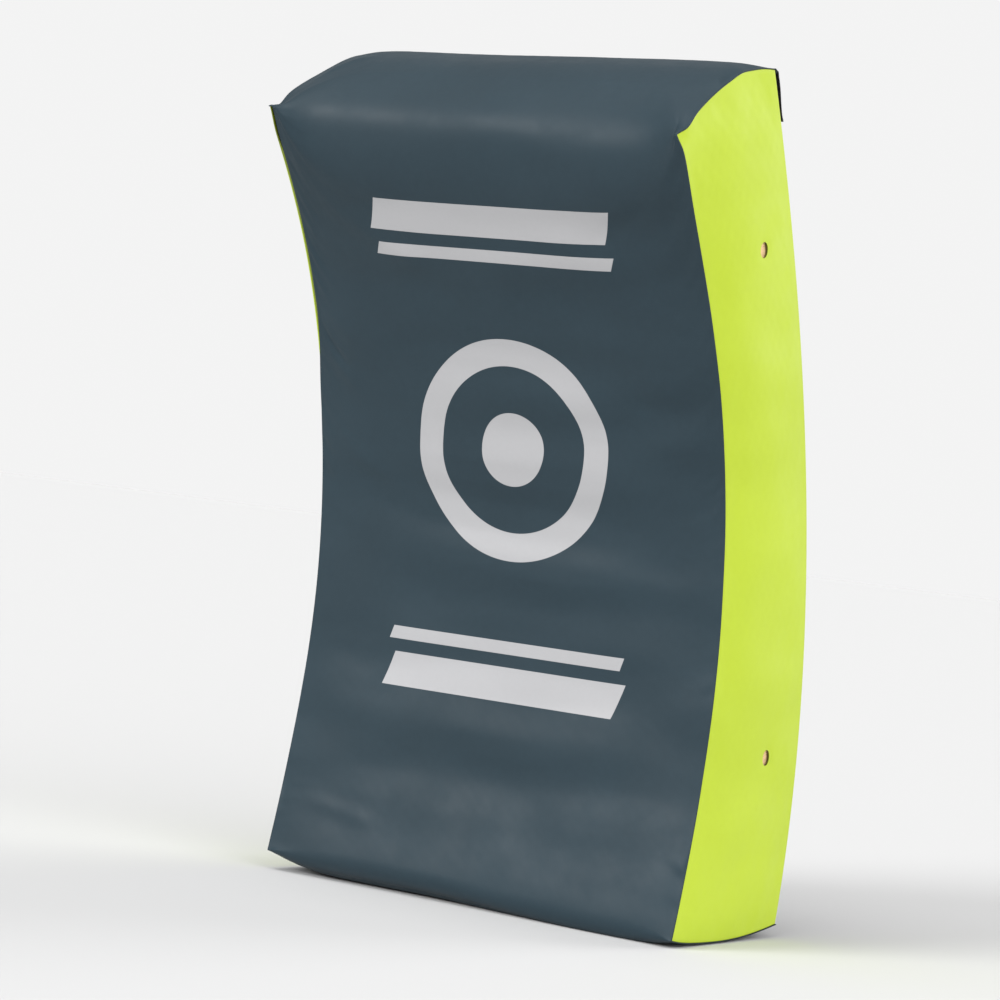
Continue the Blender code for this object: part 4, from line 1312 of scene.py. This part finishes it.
def makeWebbing(kind, side, name, node):
    line, fine, _ = loopLine(kind["rise"])
    angle = turnAngles(28)
    upBy = kind["width"] / 2 * signedPower(np.cos(angle), 0.35)
    out = holds["webbing"] / 2 * signedPower(np.sin(angle), 0.45)
    piece = tubeMesh(name, alongLine(kind, side, line, upBy, out), upBy, fine[:, None])
    dress(piece, "black_webbing", "shield", node)


def makeSleeve(kind, side, name, node, seed):
    line, fine, (first, last) = loopLine(kind["rise"])
    keep = (fine >= first) & (fine <= last)
    line, fine = line[keep], fine[keep] - first
    bend = np.gradient(np.unwrap(np.arctan2(*np.gradient(line, axis=0).T[::-1])), fine)[:, None]
    along, angle = fine[:, None], turnAngles(64)
    width, thickness = kind["width"], kind["thickness"]
    fromEnd = np.minimum(along, last - first - along)
    # The ends close in over a short way
    closing = np.sqrt(np.clip(1 - (1 - np.clip(fromEnd / 0.005, 0, 1)) ** 2, 0, 1))
    grow = 0.55 + 0.45 * closing
    upBy = signedPower(np.cos(angle), 2 / holds["sleeveCorner"]) * (width / 2 + kind["wall"])
    out = signedPower(np.sin(angle), 2 / holds["sleeveCorner"]) * thickness / 2
    # Ridges on the inside of the bends, soft padding, gathered ends and the seam underneath
    inner = np.clip(-np.sin(angle), 0, 1) * np.clip(abs(bend) / 40, 0, 1)
    around = angle * 8 / (2 * pi)
    turn = along / holds["ridgePitch"] * 2 * pi + 2 * lattice(around, along * 0 + 1, seed)
    ridge = holds["ridge"] * np.cos(turn) * inner
    soft = holds["padding"] * layered(along / 0.014, around, seed + 1, 2)
    gather = holds["gather"] * layered(angle * 3, along * 0, seed + 2, 2)
    gather = gather * np.exp(-fromEnd / holds["gatherReach"])
    seam = holds["sleeveSeam"] * np.exp(-(((angle - 1.5 * pi) * width / 2 / 0.0014) ** 2))
    swell = 1 + (np.minimum(ridge + soft + gather - seam, 0.0) - 0.0002) / (thickness / 2)
    rings = alongLine(kind, side, line, upBy * grow**0.3 * (1 + (swell - 1) * 0.25), out * grow * swell)
    square = np.maximum(abs(np.cos(angle)), abs(np.sin(angle)))
    slotUp = (width / 2 + holds["slotRoom"]) * np.cos(angle) / square
    slotOut = (holds["webbing"] / 2 + holds["slotRoom"]) * np.sin(angle) / square
    hollow = alongLine(kind, side, line, slotUp, slotOut)
    piece = tubeMesh(name, rings, angle * (width + thickness) / pi, along, hollow)
    dress(piece, "sleeve_sheet", "shield", node)
    closed = np.r_[0:len(angle), 0]
    return [(ring[closed], unit(ring - ring.mean(0))[closed]) for ring in (rings[5], rings[-6])]


def makeHolds():
    threads, sleeveThreads = [], []
    overhang = holds["overhang"]
    centre, near, far = loopStart + overhang, loopEnd - overhang, footEnd + overhang
    for number, (word, kind) in enumerate((("grip", grip), ("arm", arm))):
        level = kind["level"]
        for hand, start, end in (("Centre", -centre, centre), ("Right", near, far), ("Left", -far, -near)):
            threads += makePatch(kind, start, end, level + "Patch" + hand, f"{level}_patch_{hand.lower()}")
        for side, hand in ((-1, "Left"), (1, "Right")):
            makeWebbing(kind, side, word + "Webbing" + hand, f"{word}_webbing_{hand.lower()}")
            for start, end in ((holds["footStart"], loopStart), (loopEnd, footEnd)):
                threads += [(line * [side, 1, 1], out) for line, out in footStitches(kind, start, end)]
            name, node = word + "Sleeve" + hand, f"{word}_sleeve_{hand.lower()}"
            sleeveThreads += makeSleeve(kind, side, name, node, 200 + 20 * number + side)
    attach(stitchMesh("strapStitches", threads), "shield")
    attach(stitchMesh("sleeveStitches", sleeveThreads), "shield")


makeHolds()
print("stage: grips and straps made")

# The foam block, seen through the vents: three glued layers

foam = {
    "inset": 0.0045,
    "side": 0.0004,
    "roll": 0.046,
    "backTop": 0.95,
    "rows": 60,
    "endRows": (0.004, 0.010, 0.026, 0.974, 0.990, 0.996),
}


def makeFoam():
    inset, roll = foam["inset"], foam["roll"]
    corners = insetCorners(inset, inset, inset, inset)
    angle = turnAngles(64)
    square = np.maximum(abs(np.cos(angle)), abs(np.sin(angle))) ** 0.97
    # Each layer's name and node, the shares of the depth that it fills, how high it goes, and its foam
    layers = (
        ("strikeFoam", "strike_foam", 0.0, 0.2485, 1.0, "soft_foam"),
        ("coreFoam", "core_foam", 0.2515, 0.8185, 1.0, "light_foam"),
        ("backFoam", "back_foam", 0.8215, 1.0, foam["backTop"], "firm_foam"),
    )
    for name, node, near, far, top, slotName in layers:
        heights = np.sort(np.append(np.linspace(0, top, foam["rows"]), foam["endRows"]))
        heights = heights[heights <= top][:, None]
        front = near
        if near == 0:
            # The front edges are rounded, because the cover rolls over them
            short = np.maximum(roll - np.minimum(heights, 1 - heights) * pad["frontHeight"], 0.0)
            front = (roll - np.sqrt(roll**2 - short**2)) / pad["baseDepth"]
        depth = (front + far) / 2 + (far - front) / 2 * np.clip(np.sin(angle) / square, -1, 1)
        half = innerHalf - foam["side"] + sideSwell(depth, heights) * 0.9
        across = half * np.clip(np.cos(angle) / square, -1, 1)
        rings = soften(world(across, sidePoint(corners, depth, heights)))
        piece = tubeMesh(name, rings, angle, heights)
        dress(piece, slotName, "shield", node)


makeFoam()
print("stage: foam made")

# Zip teeth, stops and slider keep the CAD's shapes in finer materials

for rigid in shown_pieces():
    if rigid.name.startswith(("zip_teeth", "zip_stop", "zip_slider")):
        for part in rigid.material_slots:
            part.material = finishes["slider_metal" if rigid.name == "zip_slider" else "zip_teeth"]
print("stage: zip finished")

# Lights, floor and camera

studio = {
    "sky": 0.90,
    "soft": 0.36,
    "key": (2.4, 26, (-1.1, -2.4, 1.3)),
    "over": (1.4, 40, (-0.3, -0.8, 2.6)),
    "fill": (2.30, 60, (2.4, -1.1, 0.9)),
    "rim": (1.40, 34, (1.0, 2.4, 1.1)),
    "floor": (0.58, 0.58, 0.58),
}


def softSun(name, strength, spread, place):
    # A wide even light that comes from the side of a place
    data = bpy.data.lights.new(name, "SUN")
    data.energy = strength
    data.angle = radians(spread)
    lamp = bpy.data.objects.new(name, data)
    lamp.location = place
    lamp.rotation_euler = (-Vector(place)).to_track_quat("-Z", "Y").to_euler()
    bpy.context.scene.collection.objects.link(lamp)


def makeStudio():
    # The backdrop is nearly white, and the soft light that comes from it is dimmer
    sky = bpy.data.worlds.new("studioWorld")
    sky.use_nodes = True
    tree = sky.node_tree
    level = tree.nodes.new("ShaderNodeMapRange")
    level.inputs["To Min"].default_value = studio["soft"]
    level.inputs["To Max"].default_value = studio["sky"]
    tree.links.new(tree.nodes.new("ShaderNodeLightPath").outputs["Is Camera Ray"], level.inputs["Value"])
    tree.nodes["Background"].inputs["Color"].default_value = (1, 1, 1, 1)
    tree.links.new(level.outputs["Result"], tree.nodes["Background"].inputs["Strength"])
    bpy.context.scene.world = sky
    bpy.context.scene.view_settings.view_transform = "Standard"
    for name in ("key", "over", "fill", "rim"):
        softSun(name + "Light", *studio[name])
    ground = Nodes("paleFloor")
    level = ground.ramp(ground.noise(3.0, 2.0), 0.3, 0.7, 0.55, 0.65)
    floor = meshObject("paleFloor", [(-9, -9, 0), (9, -9, 0), (9, 9, 0), (-9, 9, 0)], [(0, 1, 2, 3)])
    floor.location.z = -0.0002
    floor.data.materials.append(ground.finish(colour=(*studio["floor"], 1), rough=level, gloss=0.0))


view = {
    "eye": (1.86504, -2.86796, 0.44747),
    "right": (0.823009, 0.557889, 0.106849),
    "up": (-0.100517, -0.042097, 0.994044),
    "lens": 131.486,
}


def makeCamera():
    data = bpy.data.cameras.new("photoCamera")
    data.lens = view["lens"]
    data.sensor_width = 36
    data.clip_start, data.clip_end = 0.05, 60
    camera = bpy.data.objects.new("photoCamera", data)
    right, up = Vector(view["right"]), Vector(view["up"])
    back = right.cross(up)
    camera.matrix_world = Matrix((
        (right.x, up.x, back.x, view["eye"][0]),
        (right.y, up.y, back.y, view["eye"][1]),
        (right.z, up.z, back.z, view["eye"][2]),
        (0, 0, 0, 1),
    ))
    bpy.context.scene.collection.objects.link(camera)
    bpy.context.scene.camera = camera


makeStudio()
makeCamera()
print("stage: studio made")
